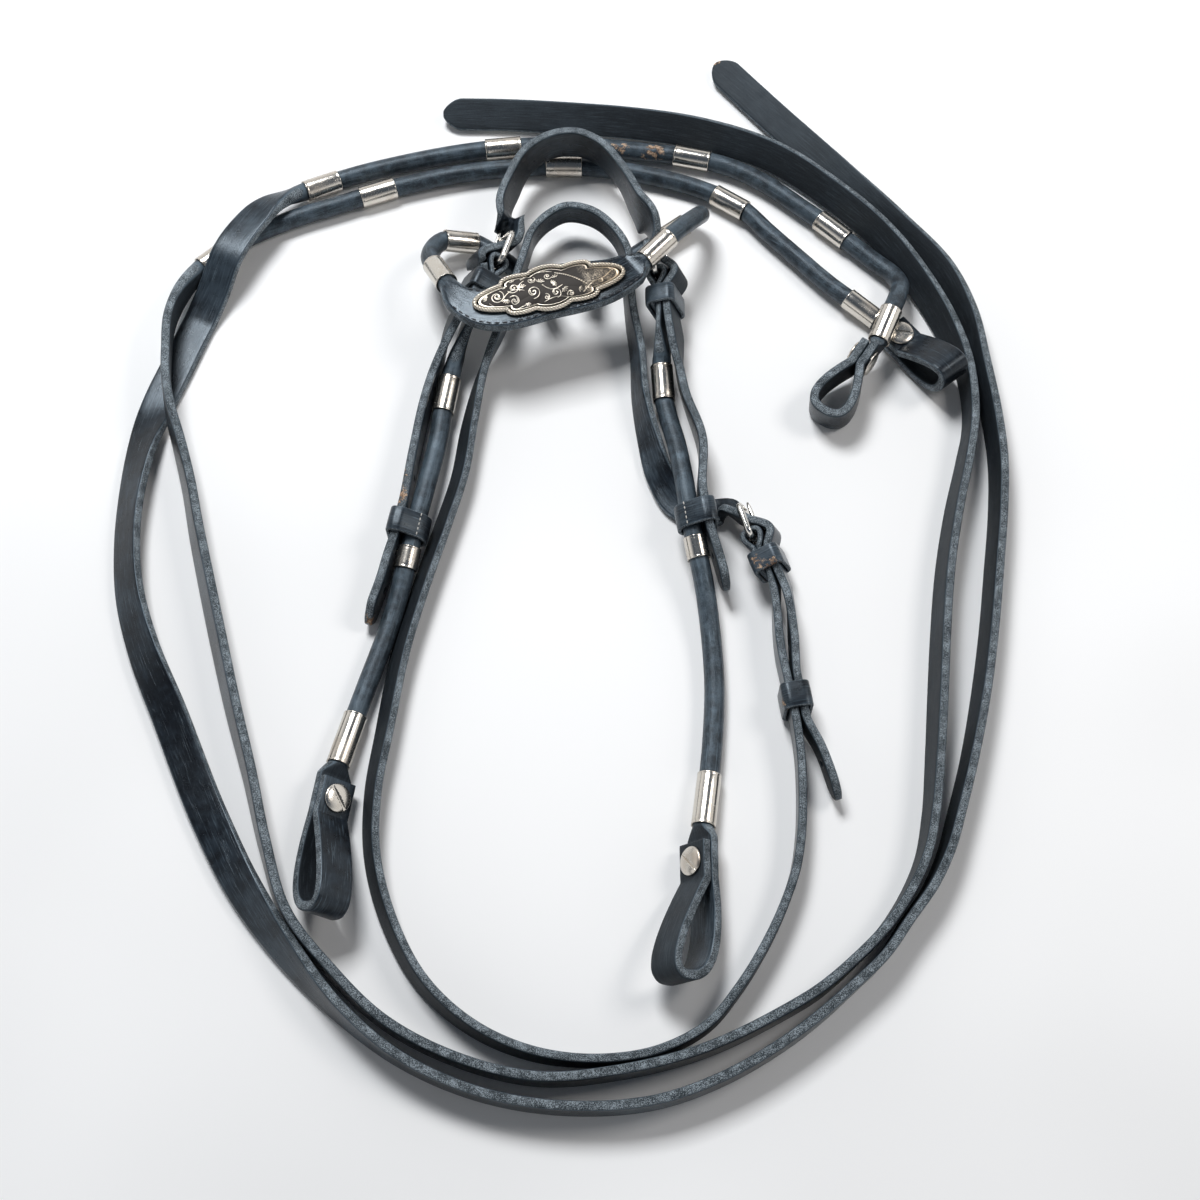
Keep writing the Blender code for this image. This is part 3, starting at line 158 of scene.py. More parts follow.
def eyeStations(kind, neck, forward, width, pitch, lift=0.0, hand=1):
    # a strap end that runs out from the neck, round an eye and back beside itself
    tab, length, swell = (eyeCut[kind][key] for key in ("tab", "length", "swell"))
    width = unit(width - (width @ forward) * forward)
    side = hand * np.cross(forward, width)
    stations = []

    def place(run, offset):
        stations.append((neck + run * forward + offset * side, width))

    for run in np.linspace(0.12, 0.85, 3):
        place(run * tab, pitch)
    for angle in np.linspace(2 * math.pi, 0.0, 19):
        half = angle / 2
        share = angle / (2 * math.pi)
        offset = -swell * math.sin(angle) * math.sin(half) + pitch * share * share * (3 - 2 * share)
        run = tab + length * (1 - abs(math.cos(half)) ** 2.5)
        place(run, offset + lift * swell * math.sin(half) ** 2)
    for run in (0.6, 0.2):
        place(run * tab, 0.0)
    return stations, side


# cross sections: 6 points on each corner, 6 on each broad face and 2 on each edge
sideSpaces = (7, 3, 7, 3)
cornerSigns = np.array(((1, 1), (-1, 1), (-1, -1), (1, -1)))
rollFlat = 0.0015  # a flat half width under this turns the section round


def sectionOf(width, thickness, corner):
    # the outline, and how far each point is on a cut edge, on the grain side and on rolled leather
    corner = min(corner, width / 2, thickness / 2)
    reach = np.array((width / 2 - corner, thickness / 2 - corner))
    ring, rim, face = [], [], []
    for quarter, spaces in enumerate(sideSpaces):
        for angle in (quarter + np.arange(6) / 5) * math.pi / 2:
            ring.append(reach * cornerSigns[quarter] + corner * np.array((math.cos(angle), math.sin(angle))))
            rim.append(max(0.0, abs(math.cos(angle)) * 1.6 - 0.75))
            face.append(math.sin(angle))
        start, run = ring[-1], reach * (cornerSigns[(quarter + 1) % 4] - cornerSigns[quarter])
        onFace = quarter in (0, 2)
        for k in range(1, spaces):
            ring.append(start + run * k / spaces)
            rim.append(0.0 if onFace else 1.0)
            face.append((1 - quarter) if onFace else 0.0)
    flat = min(1.0, reach[0] / rollFlat)
    oval = np.column_stack([width / 2 * np.cos(sectionAngles), thickness / 2 * np.sin(sectionAngles)])
    rolled = 1 - flat
    return flat * np.array(ring) + rolled * oval, flat * np.array(rim), flat * np.array(face) + rolled, rolled


def evenAngles():
    found = []
    for quarter, spaces in enumerate(sideSpaces):
        found += [90 * quarter + 20 + 10 * k for k in range(6)]
        found += [90 * quarter + 70 + 40 * k / spaces for k in range(1, spaces)]
    return np.radians(found)


sectionAngles = evenAngles()


class StrapShape:
    # width, thickness and corner radius along a rail

    def __init__(self):
        self.keys = []

    def add(self, s, width, thickness, corner=None):
        self.keys.append((s, width, thickness, strapCut["corner"] if corner is None else corner))
        return self

    def roll(self, s):
        return self.add(s, rollCut["diameter"], rollCut["diameter"], rollCut["diameter"] / 2)

    def at(self, s):
        keys = sorted(self.keys)
        return [float(np.interp(s, [key[0] for key in keys], [key[k] for key in keys])) for k in (1, 2, 3)]


def pointTip(shape, end, width, thickness, way=-1, fullness=1.02):
    # a strap's rounded point at its end, or with way = 1 at its start
    for share in np.linspace(1.0, 0.0, 9):
        wide = 0.22 + 0.78 * math.sin(math.pi / 2 * min(1.0, share * fullness)) ** 0.8
        thin = 0.8 + 0.2 * min(1.0, share * 4)
        shape.add(end + way * share * strapCut["tip"], wide * width, thin * thickness)


def bridge(rings, closed):
    count = len(rings[0])
    faces = []
    for ring in range(len(rings) if closed else len(rings) - 1):
        low, high = ring * count, ((ring + 1) % len(rings)) * count
        for k in range(count):
            following = (k + 1) % count
            faces.append((low + k, low + following, high + following, high + k))
    if not closed:
        faces.append(tuple(reversed(range(count))))
        faces.append(tuple(range(len(rings) * count - count, len(rings) * count)))
    return faces


def mark(mesh, attributes):
    for label, values in attributes.items():
        mesh.attributes.new(label, "FLOAT", "POINT").data.foreach_set("value", np.asarray(values, np.float32))


def makeMesh(name, points, faces, material, attributes=None, smooth=True):
    mesh = bpy.data.meshes.new(name)
    mesh.from_pydata(inFrame(points).tolist(), [], faces)
    mark(mesh, attributes or {})
    if smooth:
        mesh.shade_smooth()
    mesh.update()
    piece = bpy.data.objects.new(name, mesh)
    scene.collection.objects.link(piece)
    if material:
        mesh.materials.append(material)
    return piece


def ringMesh(name, rings, closed, material, attributes=None):
    return makeMesh(name, np.vstack(rings), bridge(rings, closed), material, attributes)


def baked(piece):
    # the evaluated mesh in place of live modifiers
    graph = bpy.context.evaluated_depsgraph_get()
    mesh = bpy.data.meshes.new_from_object(piece.evaluated_get(graph), depsgraph=graph)
    if piece.type == "CURVE":
        made = bpy.data.objects.new(piece.name + "Mesh", mesh)
        scene.collection.objects.link(made)
        name = piece.name
        bpy.data.objects.remove(piece, do_unlink=True)
        made.name = name
        return made
    piece.modifiers.clear()
    piece.data = mesh
    return piece


def fit(piece, node):
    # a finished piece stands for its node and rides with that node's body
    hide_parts(node)
    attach(piece, bodyOf[node])
    return piece


def wearAt(points, spots):
    # 0 to 1 near each worn place: x, y, z and reach in millimetres of the layout
    wear = np.zeros(len(points))
    for x, y, z, reach in spots:
        away = np.linalg.norm(points * 1000 - (x, y, z), axis=1) / reach
        wear = np.maximum(wear, np.clip(1.25 - away, 0.0, 1.0))
    return wear


def loftStrap(name, rail, shape, material, step=0.0022, fine=(), spots=()):
    # one strap along its rail, with attributes that tell its material where it is cut, worn or rolled;
    # fine lists the start, end and step of each stretch that bends or tapers sharply
    places = list(np.linspace(0.0, rail.length, int(rail.length / step) + 1))
    for low, high, small in fine:
        places += list(np.linspace(low, high, int((high - low) / small) + 2))
    for low, high, *_ in rail.held:
        places += [low, high]
    places = sorted(places)
    places = [s for k, s in enumerate(places) if k == 0 or s - places[k - 1] > 0.0003]
    rings, marks = [], {"rim": [], "face": [], "along": [], "across": [], "rolled": []}
    for s in places:
        centre, _, width, side = rail.at(s)
        ring, rim, face, rolled = sectionOf(*shape.at(s))
        points = centre + ring @ np.array([width, side])
        points[:, 2] += max(0.0, -points[:, 2].min())
        rings.append(points)
        for column, values in zip(marks.values(), (rim, face, s, ring[:, 0], rolled)):
            column.append(np.broadcast_to(values, len(ring)))
    attributes = {key: np.hstack(values) for key, values in marks.items()}
    attributes["wear"] = wearAt(np.vstack(rings), spots)
    return ringMesh(name, rings, False, material, attributes)


def lathe(name, start, axis, rows, sides, material, ringShaped=False):
    axis = unit(axis)
    across = unit(np.cross(axis, (0.31, 0.17, 0.93)))
    third = np.cross(axis, across)
    angles = np.arange(sides) * 2 * math.pi / sides
    circle = np.cos(angles)[:, None] * across + np.sin(angles)[:, None] * third
    rings = [np.asarray(start, float) + run * axis + radius * circle for run, radius in rows]
    return ringMesh(name, rings, ringShaped, material)


def cutAway(piece, cutters):
    # one exact Boolean for each cutter, then a plain mesh
    for cutter in cutters:
        modifier = piece.modifiers.new("cut", "BOOLEAN")
        modifier.operation = "DIFFERENCE"
        modifier.solver = "EXACT"
        modifier.object = cutter
    piece = baked(piece)
    for cutter in cutters:
        bpy.data.objects.remove(cutter, do_unlink=True)
    return piece


def drill(start, end, radius):
    rows = [(0.0, radius), (np.linalg.norm(end - start), radius)]
    return lathe("drill", start, end - start, rows, 24, None)


def block(centre, axes, sizes):
    corners = []
    for u in (-0.5, 0.5):
        for v, w in ((-0.5, -0.5), (0.5, -0.5), (0.5, 0.5), (-0.5, 0.5)):
            corners.append(centre + sum(k * size * axis for k, size, axis in zip((u, v, w), sizes, axes)))
    rings = [np.array(corners[:4]), np.array(corners[4:])]
    if np.dot(np.cross(axes[1], axes[2]), axes[0]) < 0:
        rings.reverse()
    return makeMesh("block", np.vstack(rings), bridge(rings, False), None, smooth=False)


class Term:
    # a node socket that takes part in Python arithmetic

    def __init__(self, graph, socket):
        self.graph = graph
        self.socket = socket

    def math(self, operation, other=None, **settings):
        return self.graph.node("ShaderNodeMath", {"operation": operation, **settings}, {0: self, 1: other})

    def __add__(self, other):
        return self.math("ADD", other)

    def __sub__(self, other):
        return self.math("SUBTRACT", other)

    def __mul__(self, other):
        return self.math("MULTIPLY", other)

    def __rsub__(self, other):
        return self.graph.node("ShaderNodeMath", {"operation": "SUBTRACT"}, {0: other, 1: self})

    __radd__ = __add__
    __rmul__ = __mul__

    def clamp(self):
        return self.math("ADD", 0.0, use_clamp=True)


class Graph:
    # a node tree that is built one node at a time

    def __init__(self, tree):
        self.tree = tree

    def node(self, kind, settings, inputs, output=0):
        made = self.tree.nodes.new(kind)
        for key, value in settings.items():
            setattr(made, key, value)
        for key, value in inputs.items():
            self.feed(made.inputs[key], value)
        return Term(self, made.outputs[output])

    def feed(self, socket, value):
        if isinstance(value, Term):
            self.tree.links.new(value.socket, socket)
        elif value is not None:
            socket.default_value = value

    def step(self, value, low, high):
        inputs = {"Value": value, "From Min": low, "From Max": high}
        return self.node("ShaderNodeMapRange", {"interpolation_type": "SMOOTHSTEP"}, inputs)

    def mix(self, factor, a, b):
        inputs = {"Factor": factor}
        for key, colour in ((6, a), (7, b)):
            inputs[key] = colour if isinstance(colour, Term) else (*colour, 1.0)
        return self.node("ShaderNodeMix", {"data_type": "RGBA"}, inputs, 2)

    def vector(self, operation, a, b=None, **inputs):
        return self.node("ShaderNodeVectorMath", {"operation": operation}, {0: a, 1: b, **inputs})


class Paint(Graph):
    # one material and the nodes it is made of

    def __init__(self, name):
        self.material = bpy.data.materials.new(name)
        self.material.use_nodes = True
        super().__init__(self.material.node_tree)
        self.shader = self.tree.nodes["Principled BSDF"]
        self.place = self.node("ShaderNodeTexCoord", {}, {}, "Object")

    def noise(self, scale, detail=3.0, rough=0.55, where=None, stretch=None):
        where = where or self.place
        if stretch:
            where = self.vector("MULTIPLY", where, stretch)
        inputs = {"Vector": where, "Scale": scale, "Detail": detail, "Roughness": rough}
        return self.node("ShaderNodeTexNoise", {}, inputs)

    def cells(self, scale):
        settings = {"feature": "DISTANCE_TO_EDGE"}
        return self.node("ShaderNodeTexVoronoi", settings, {"Vector": self.place, "Scale": scale})

    def attributes(self, *names):
        return [self.node("ShaderNodeAttribute", {"attribute_name": name}, {}, "Fac") for name in names]

    def bump(self, height, distance, strength):
        inputs = {"Height": height, "Distance": distance, "Strength": strength}
        self.set(Normal=self.node("ShaderNodeBump", {}, inputs))

    def set(self, **sockets):
        for key, value in sockets.items():
            value = (*value, 1.0) if isinstance(value, tuple) else value
            self.feed(self.shader.inputs[key.replace("_", " ")], value)


leather = {
    "black": (0.0035, 0.0042, 0.0060),
    "blueBlack": (0.011, 0.016, 0.023),
    # a blue grey that is partly real wear and partly painted sheen, for worn and rolled leather
    "scuffSheenTone": (0.115, 0.155, 0.190),
    "brown": (0.115, 0.062, 0.036),
    "tan": (0.50, 0.36, 0.25),
    "fibreDark": (0.021, 0.026, 0.030),
    "fibrePale": (0.29, 0.335, 0.37),
    "sheen": (0.78, 0.90, 1.0),
    "pebble": 1500.0,  # grains and creases in a metre
    "crease": 260.0,
    "gloss": 0.21,
    "shine": 0.38,
    "relief": 0.00014,
}


# the first amount sets how much real wear and painted sheen lighten the grain side
def makeLeather(name, scuffAndSheen=0.5, gloss=0.0, fibre=0.5):
    paint = Paint(name)
    mix, step = paint.mix, paint.step
    rim, face, wear, rolled = paint.attributes("rim", "face", "wear", "rolled")
    along, across = paint.attributes("along", "across")
    flow = paint.node("ShaderNodeCombineXYZ", {}, {0: along, 1: across, 2: 0.0})
    broad, blotch = paint.noise(28.0, 4.0), paint.noise(190.0, 4.0, 0.62)
    speckle = paint.noise(2600.0, 4.0, 0.7)
    streak = paint.noise(1.0, 5.0, 0.65, flow, (90.0, 1500.0, 1.0))
    scratch = step(paint.noise(1.0, 3.0, 0.6, flow, (42.0, 2600.0, 1.0)), 0.63, 0.72)
    crack = 1 - step(paint.cells(leather["pebble"]), 0.0, 0.16)
    crease = 1 - step(paint.cells(leather["crease"]), 0.0, 0.035)
    # the grain side: blue black, lightened along the strap in streaks and broad patches, and on rolled
    # leather, towards a blue grey that is partly real wear and dust and partly painted sheen
    skin = mix(step(broad * 0.5 + blotch * 0.5, 0.40, 0.62), leather["black"], leather["blueBlack"])
    bloomAndSheen = step(broad * 0.6 + streak * 0.4, 0.47, 0.60) * 0.35
    rubbedAndSheen = (scratch * blotch * 1.7 + step(streak, 0.55, 0.75) * 0.6 + bloomAndSheen + crease * 0.03) * scuffAndSheen
    skin = mix(rubbedAndSheen.clamp(), skin, leather["scuffSheenTone"])
    # rolled leather lightened towards the blue grey: partly dust, partly painted sheen
    dustAndSheen = rolled * (step(speckle * 0.55 + blotch * 0.45, 0.44, 0.62) * 0.42 + streak * 0.16)
    skin = mix(dustAndSheen.clamp(), skin, leather["scuffSheenTone"])
    # the flesh side
    back = 1 - step(face, -0.6, 0.1)
    nap = step(speckle * 0.6 + streak * 0.4, 0.40, 0.66)
    skin = mix(back * 0.75, skin, mix(nap, leather["black"], leather["fibreDark"]))
    # pale fibres on the cut edge, and beside it a pale line that is partly a polished edge and partly a
    # painted highlight
    grit = step(speckle * 0.75 + blotch * 0.25, 0.46 - 0.12 * (fibre - 0.5), 0.60)
    rimMask = step(rim + (blotch - 0.5) * 0.3, 0.30, 0.62)
    colour = mix(rimMask, skin, mix(grit, leather["fibreDark"], leather["fibrePale"]))
    # a pale line beside the cut edge: partly a polished edge, partly a painted highlight
    burnishAndHighlight = (step(rim, 0.04, 0.25) - step(rim, 0.35, 0.6)).clamp() * (0.1 + streak * 0.7)
    colour = mix(burnishAndHighlight.clamp(), colour, leather["scuffSheenTone"])
    # flaked spots that show the brown hide
    flaked = paint.noise(340.0, 4.0, 0.65)
    worn = step(wear * (flaked * 1.9 + speckle * 0.5 - 0.3), 0.78, 0.90)
    hide = mix(step(flaked * 0.5 + speckle * 0.5, 0.50, 0.58), leather["brown"], leather["tan"])
    rough = (leather["gloss"] - gloss + blotch * 0.16 + crack * 0.02 + back * 0.3 + rimMask * 0.4
             + worn * 0.4 + rolled * 0.07)
    paint.set(Base_Color=mix(worn, colour, hide), Roughness=rough.clamp(),
              Specular_IOR_Level=leather["shine"], Specular_Tint=leather["sheen"])
    grain = (crack * -0.08 + crease * -0.1 + speckle * (0.5 + rimMask * 1.5 + rolled) + scratch * -0.8
             + streak * 0.4)
    paint.bump(grain - worn * 1.2, leather["relief"], 0.55)
    return paint.material


metal = {
    "nickel": (0.62, 0.585, 0.53),
    "tarnish": (0.36, 0.27, 0.19),
    "steel": (0.72, 0.70, 0.66),
    "silver": (0.62, 0.57, 0.49),
    "patina": (0.050, 0.046, 0.043),
    "gilt": (0.33, 0.26, 0.18),
}


def makeMetal(name, colour, rough, tarnish=0.3):
    paint = Paint(name)
    film = paint.noise(60.0, 4.0, 0.6)
    fine = paint.noise(900.0, 3.0, 0.6)
    hair = paint.step(paint.noise(1.0, 2.0, 0.5, None, (1400.0, 1400.0, 260.0)), 0.60, 0.72)
    dull = paint.step(film, 0.44, 0.66)
    paint.set(Metallic=1.0, Base_Color=paint.mix(dull * tarnish, colour, metal["tarnish"]),
              Roughness=(rough + dull * 0.10 + hair * 0.10 + fine * 0.05).clamp())
    paint.bump(fine * 0.4 - hair * 0.6, 0.000012, 0.4)
    return paint.material


def makeSilver(name):
    # bright on the raised scrolls and rope, near black in the recesses, warmer towards one end
    paint = Paint(name)
    deep, warm = paint.attributes("recess", "warm")
    film = paint.noise(220.0, 4.0, 0.6)
    fine = paint.noise(2100.0, 3.0, 0.6)
    bright = paint.mix((warm * 0.9 + film * 0.3 - 0.1).clamp(), metal["silver"], metal["gilt"])
    stipple = paint.step(fine, 0.42, 0.60)
    gone = paint.step(warm + (film - 0.5) * 0.5, 0.40, 0.60) * (stipple * 0.7 + 0.3)
    dark = paint.step(deep + (film - 0.5) * 0.6 - gone * 0.4, 0.25, 0.75)
    paint.set(Metallic=1.0, Base_Color=paint.mix(dark, bright, metal["patina"]),
              Roughness=(0.26 + dark * 0.35 + fine * 0.1).clamp())
    paint.bump(fine * 0.5, 0.00005, 0.6)
    return paint.material


def makeThread(name, colour):
    paint = Paint(name)
    fuzz = paint.noise(2500.0, 3.0, 0.7)
    dirt = paint.noise(300.0, 3.0, 0.6)
    paint.set(Base_Color=paint.mix((fuzz * 0.5 + dirt * 0.5).clamp(), colour, tuple(c * 2.2 for c in colour)),
              Roughness=0.7)
    paint.bump(fuzz, 0.0001, 0.8)
    return paint.material


reinLeather = makeLeather("reinLeather", 0.55)
cheekLeather = makeLeather("cheekLeather", 0.9)
crownLeather = makeLeather("crownLeather", 0.6)
throatLeather = makeLeather("throatLeather", 0.7)
browLeather = makeLeather("browLeather", 0.6, 0.06)
keeperLeather = makeLeather("keeperLeather", 0.8)
nickel = makeMetal("nickel", metal["nickel"], 0.16)
screwMetal = makeMetal("screwMetal", metal["nickel"], 0.22, 0.5)
wireMetal = makeMetal("wireMetal", metal["steel"], 0.14, 0.2)
silver = makeSilver("engravedSilver")
blackThread = makeThread("blackThread", (0.018, 0.020, 0.024))
paleThread = makeThread("paleThread", (0.30, 0.29, 0.27))
print("materials made")


ferruleCut = {"wall": 0.0005, "bead": 0.0006, "sides": 56, "long": 0.018, "short": 0.0105, "cheek": 0.024}


def makeFerrule(node, rail, s, length):
    # a nickel tube rolled in at both ends, crimped round the roll
    start, end = rail.at(s - length / 2)[0], rail.at(s + length / 2)[0]
    run = np.linalg.norm(end - start)
    bore = rollCut["diameter"] / 2 + gap
    outer, bead = bore + ferruleCut["wall"], ferruleCut["bead"]
    # how far in from the end, and the radius there
    rows = [(0.00045, bore - 0.0001), (0.0, bore + 0.0001)]
    for share in (0.25, 0.6, 0.9):
        drop = bead * (1 - math.sin(share * math.pi / 2))
        rows.append((0.6 * drop, outer - 0.55 * drop + 0.00003))
    rows += [(0.55 * bead, outer + 0.00006), (bead * 1.2, outer + 0.00004), (bead * 1.6, outer - 0.00004)]
    rows += [(bead * 2.1, outer), (0.2 * run, outer), (0.35 * run, outer)]
    rows += [(run - where, radius) for where, radius in reversed(rows)]
    fit(lathe(node + "_tube", start, end - start, rows, ferruleCut["sides"], nickel, True), node)


def hullOf(circles, grow):
    # the outline of a band drawn tight round some circles: across, through and radius of each
    count, ring = keeperCut["points"], []
    for angle in 2 * math.pi * (np.arange(count) + 0.5) / count:
        way = np.array([math.cos(angle), math.sin(angle)])
        far = max(circles, key=lambda circle: way @ circle[:2] + circle[2])
        ring.append(np.array(far[:2]) + (far[2] + grow) * way)
    closed = np.array(ring + ring[:1])
    run = np.concatenate([[0.0], np.cumsum(np.linalg.norm(np.diff(closed, axis=0), axis=1))])
    even = np.linspace(0.0, run[-1], count + 1)[:-1]
    return np.column_stack([np.interp(even, run, closed[:, k]) for k in range(2)])


def layer(width, thickness, side):
    # the four corners of one strap inside a keeper, as circles
    corner = strapCut["corner"]
    across, through = width / 2 - corner, thickness / 2 - corner
    return [(a * across, side + b * through, corner) for a in (-1, 1) for b in (-1, 1)]


keeperCut = {"wall": 0.0018, "length": 0.013, "slide": 0.003, "edge": 0.0005, "points": 112, "crown": 0.0001,
             "small": (0.011, 0.0015)}  # start and end of a cheek's small keeper, before the fold's neck


def makeKeeper(node, frameAt, length, circles, spots=()):
    # a flat leather loop round the straps that pass through it, its edges rounded over
    middle, travel, width, side = frameAt
    wall, edge = keeperCut["wall"], keeperCut["edge"]
    # how far in from the end, and how far out from the straps
    rows = [(edge, 0.0), (0.3 * edge, 0.3 * edge), (0.0, edge), (0.0, wall / 2), (0.0, wall - edge),
            (0.3 * edge, wall - 0.3 * edge), (edge, wall), (0.35 * length, wall + keeperCut["crown"])]
    ends = [(-1, *row) for row in rows] + [(1, *row) for row in reversed(rows)]
    rings, marks = [], {"rim": [], "across": []}
    for end, inset, grow in ends:
        run = end * (length / 2 - inset)
        outline = hullOf(circles, slip + grow)
        rings.append(middle + run * travel + outline @ np.array([width, side]))
        onEdge = inset < 0.6 * edge and 0.1 * wall < grow < 0.95 * wall
        marks["rim"].append(np.full(len(outline), 0.85 if onEdge else 0.0))
        marks["across"].append(np.full(len(outline), run))
    attributes = {key: np.hstack(values) for key, values in marks.items()}
    attributes["face"] = np.ones(len(attributes["rim"]))
    attributes["along"] = np.tile(np.linspace(0.0, 0.05, keeperCut["points"]), len(rings))
    attributes["wear"] = wearAt(np.vstack(rings), spots)
    return fit(ringMesh(node + "_loop", rings, True, keeperLeather, attributes), node)


screwCut = {"head": 0.0125, "height": 0.0016, "post": 0.005, "shank": 0.0026, "slotWidth": 0.0014,
            "slotDepth": 0.0008, "sides": 56}


def makeScrew(node, kind, neck, forward, side):
    # a domed post below and a slotted, domed screw above, both through the two layers at an eye's neck
    half, sides = strapCut["thickness"] / 2, screwCut["sides"]
    stack = 4 * half + gap
    spot = neck + eyeCut["screwShare"] * eyeCut[kind]["tab"] * forward
    head, height, post = screwCut["head"] / 2, screwCut["height"], screwCut["post"] / 2
    low = spot - (half + gap + height) * side
    high = spot + (stack - half + gap + height) * side
    shank, top = screwCut["shank"] / 2, height + gap + stack
    bore = shank + gap
    dome = [(0.0, 0.0004), (0.00002, 0.2 * head)]
    for angle in np.arange(1, 9) / 8 * math.pi / 2:
        dome.append((height * 0.75 * (1 - math.cos(angle)), head * (0.25 + 0.75 * math.sin(angle))))
    dome += [(0.9 * height, head), (height, 0.985 * head)]
    rows = dome + [(height, post), (top, post), (top, bore), (0.3 * top, bore)]
    fit(lathe(node + "_screw_post_dome", low, side, rows, sides, screwMetal), node + "_screw_post")
    rows = dome + [(height, shank), (0.8 * top, shank)]
    screw = lathe(node + "_screw_dome", high, -side, rows, sides, screwMetal)
    across = np.cross(side, forward)
    axes = (unit(forward + across), unit(across - forward), side)
    slot = block(high, axes, (1.2 * screwCut["head"], screwCut["slotWidth"], 2 * screwCut["slotDepth"]))
    fit(cutAway(screw, [slot]), node + "_screw")


def wireRings(centres, normal, radii, closed):
    # the rings of a bent wire that lies across its normal
    centres = np.array(centres)
    travel = np.gradient(centres, axis=0)
    if closed:
        travel = np.roll(centres, -1, axis=0) - np.roll(centres, 1, axis=0)
    angles = 2 * math.pi * (np.arange(buckleCut["sides"]) + 0.5) / buckleCut["sides"]
    rings, normal = [], unit(normal)
    for centre, ahead, radius in zip(centres, travel, radii):
        outward = np.cross(unit(ahead), normal)
        circle = np.cos(angles)[:, None] * normal + np.sin(angles)[:, None] * outward
        rings.append(centre + radius * circle)
    return rings


buckleCut = {"wire": 0.003, "length": 0.017, "throatLength": 0.0155, "corner": 0.003, "tongue": 0.0019,
             "run": 1.25, "sides": 20}
tongueReach = buckleCut["wire"] / 2 + gap + buckleCut["tongue"] / 2  # from the bar's middle to the tongue's

# A seat is the middle of the heel bar, then up the buckle, out of its face and along its bar


def foldSeat(neck, up, out):
    fold, skived = eyeCut["fold"], strapCut["skived"]
    run = fold["tab"] + fold["length"] - skived / 2 - buckleCut["wire"] / 2 - 2 * gap
    return neck + run * up - (skived + gap) / 2 * out, up, out, np.cross(out, up)


def overBars(seat, thickness, length):
    # a billet's stations over the heel bar and under the far bar
    bar, up, out, width = seat
    wire = buckleCut["wire"] / 2
    high = wire + 10 * gap + strapCut["skived"] + thickness / 2
    low = wire + 4 * gap + thickness / 2
    crossing = (0.0, high), (0.58, 0.25 * (high - low)), (1.0, -low), (buckleCut["run"], -low)
    return [(bar + share * length * up + offset * out, width) for share, offset in crossing]


def makeBuckle(label, seat, strapWidth, length):
    # a bent wire frame, and a tongue that turns on its heel bar
    bar, up, out, width = seat
    wire, corner, tongue = buckleCut["wire"] / 2, buckleCut["corner"], buckleCut["tongue"] / 2
    half = strapWidth / 2 + 2 * slip + wire
    centres = []
    for quarter, (u, w) in enumerate(((length, half), (0.0, half), (0.0, -half), (length, -half))):
        insetU = u - corner if u else corner
        insetW = w - math.copysign(corner, w)
        for angle in (quarter + np.arange(13) / 12) * math.pi / 2:
            run, aside = insetU + corner * math.cos(angle), insetW + corner * math.sin(angle)
            centres.append(bar + run * up + aside * width)
    rings = wireRings(centres, np.cross(up, width), np.full(len(centres), wire), True)
    fit(ringMesh(label + "_buckle_wire", rings, True, wireMetal), label + "_buckle")
    centres = [bar + tongueReach * (math.cos(angle) * up + math.sin(angle) * out)
               for angle in np.radians(np.linspace(320, 90, 24))]
    centres += [bar + run * up + tongueReach * out for run in np.linspace(0.12, 1.0, 8) * (length + 2 * wire)]
    radii = np.full(len(centres), tongue)
    radii[-2:] *= (0.94, 0.55)
    rings = wireRings(centres, width, radii, False)
    fit(ringMesh(label + "_tongue_wire", rings, False, wireMetal), label + "_buckle_tongue")


def foldSlot(seat):
    bar, up, out, width = seat
    tongue = buckleCut["tongue"]
    return block(bar, (up, width, out), (2.9 * tongueReach + tongue, tongue + 2 * slip, 5 * tongueReach))


def tongueHole(seat, length):
    bar, up, out, _ = seat
    start = bar + tongueReach * out + 0.1 * length * up
    return drill(start, start + 1.5 * length * up, buckleCut["tongue"] / 2 + slip)


punchCut = {"diameter": 0.0034, "first": 0.017, "pitch": 0.019, "count": 4}
punchRuns = [punchCut["first"] + k * punchCut["pitch"] for k in range(punchCut["count"])]


def punches(rail, spots):
    drills = []
    for s in spots:
        centre, _, _, side = rail.at(s)
        reach = strapCut["thickness"] * side
        drills.append(drill(centre - reach, centre + reach, punchCut["diameter"] / 2))
    return drills


def growTree(name, sizes, result):
    # a Geometry Nodes tree whose named inputs are a path and its sizes
    tree = bpy.data.node_groups.new(name, "GeometryNodeTree")
    sizes = {"Path": "Geometry", **sizes}
    for label, kind in sizes.items():
        tree.interface.new_socket(label, in_out="INPUT", socket_type="NodeSocket" + kind)
    tree.interface.new_socket(result, in_out="OUTPUT", socket_type="NodeSocketGeometry")
    graph = Graph(tree)
    given = tree.nodes.new("NodeGroupInput").outputs
    return graph, [Term(graph, given[label]) for label in sizes]


def endTree(graph, shape, finish):
    real = graph.node("GeometryNodeRealizeInstances", {}, {"Geometry": shape})
    smooth = graph.node("GeometryNodeSetShadeSmooth", {}, {"Geometry": real})
    dressed = graph.node("GeometryNodeSetMaterial", {}, {"Geometry": smooth, "Material": finish})
    graph.feed(graph.tree.nodes.new("NodeGroupOutput").inputs[0], dressed)
    return graph.tree


def stitchTree():
    # small capsules, one at each pitch along the path
    sizes = {"Pitch": "Float", "Length": "Float", "Width": "Float", "Thread": "Material"}
    graph, (path, pitch, length, width, thread) = growTree("stitchRow", sizes, "Stitches")
    places = graph.node("GeometryNodeResampleCurve", {"mode": "LENGTH"}, {"Curve": path, "Length": pitch})
    ball = graph.node("GeometryNodeMeshIcoSphere", {}, {"Radius": 0.5, "Subdivisions": 2})
    size = graph.node("ShaderNodeCombineXYZ", {}, {"X": length, "Y": width, "Z": width})
    tangent = graph.node("GeometryNodeInputTangent", {}, {})
    turn = graph.node("FunctionNodeAlignRotationToVector", {"axis": "X"}, {"Vector": tangent})
    spread = {"Points": places, "Instance": ball, "Rotation": turn, "Scale": size}
    return endTree(graph, graph.node("GeometryNodeInstanceOnPoints", {}, spread), thread)


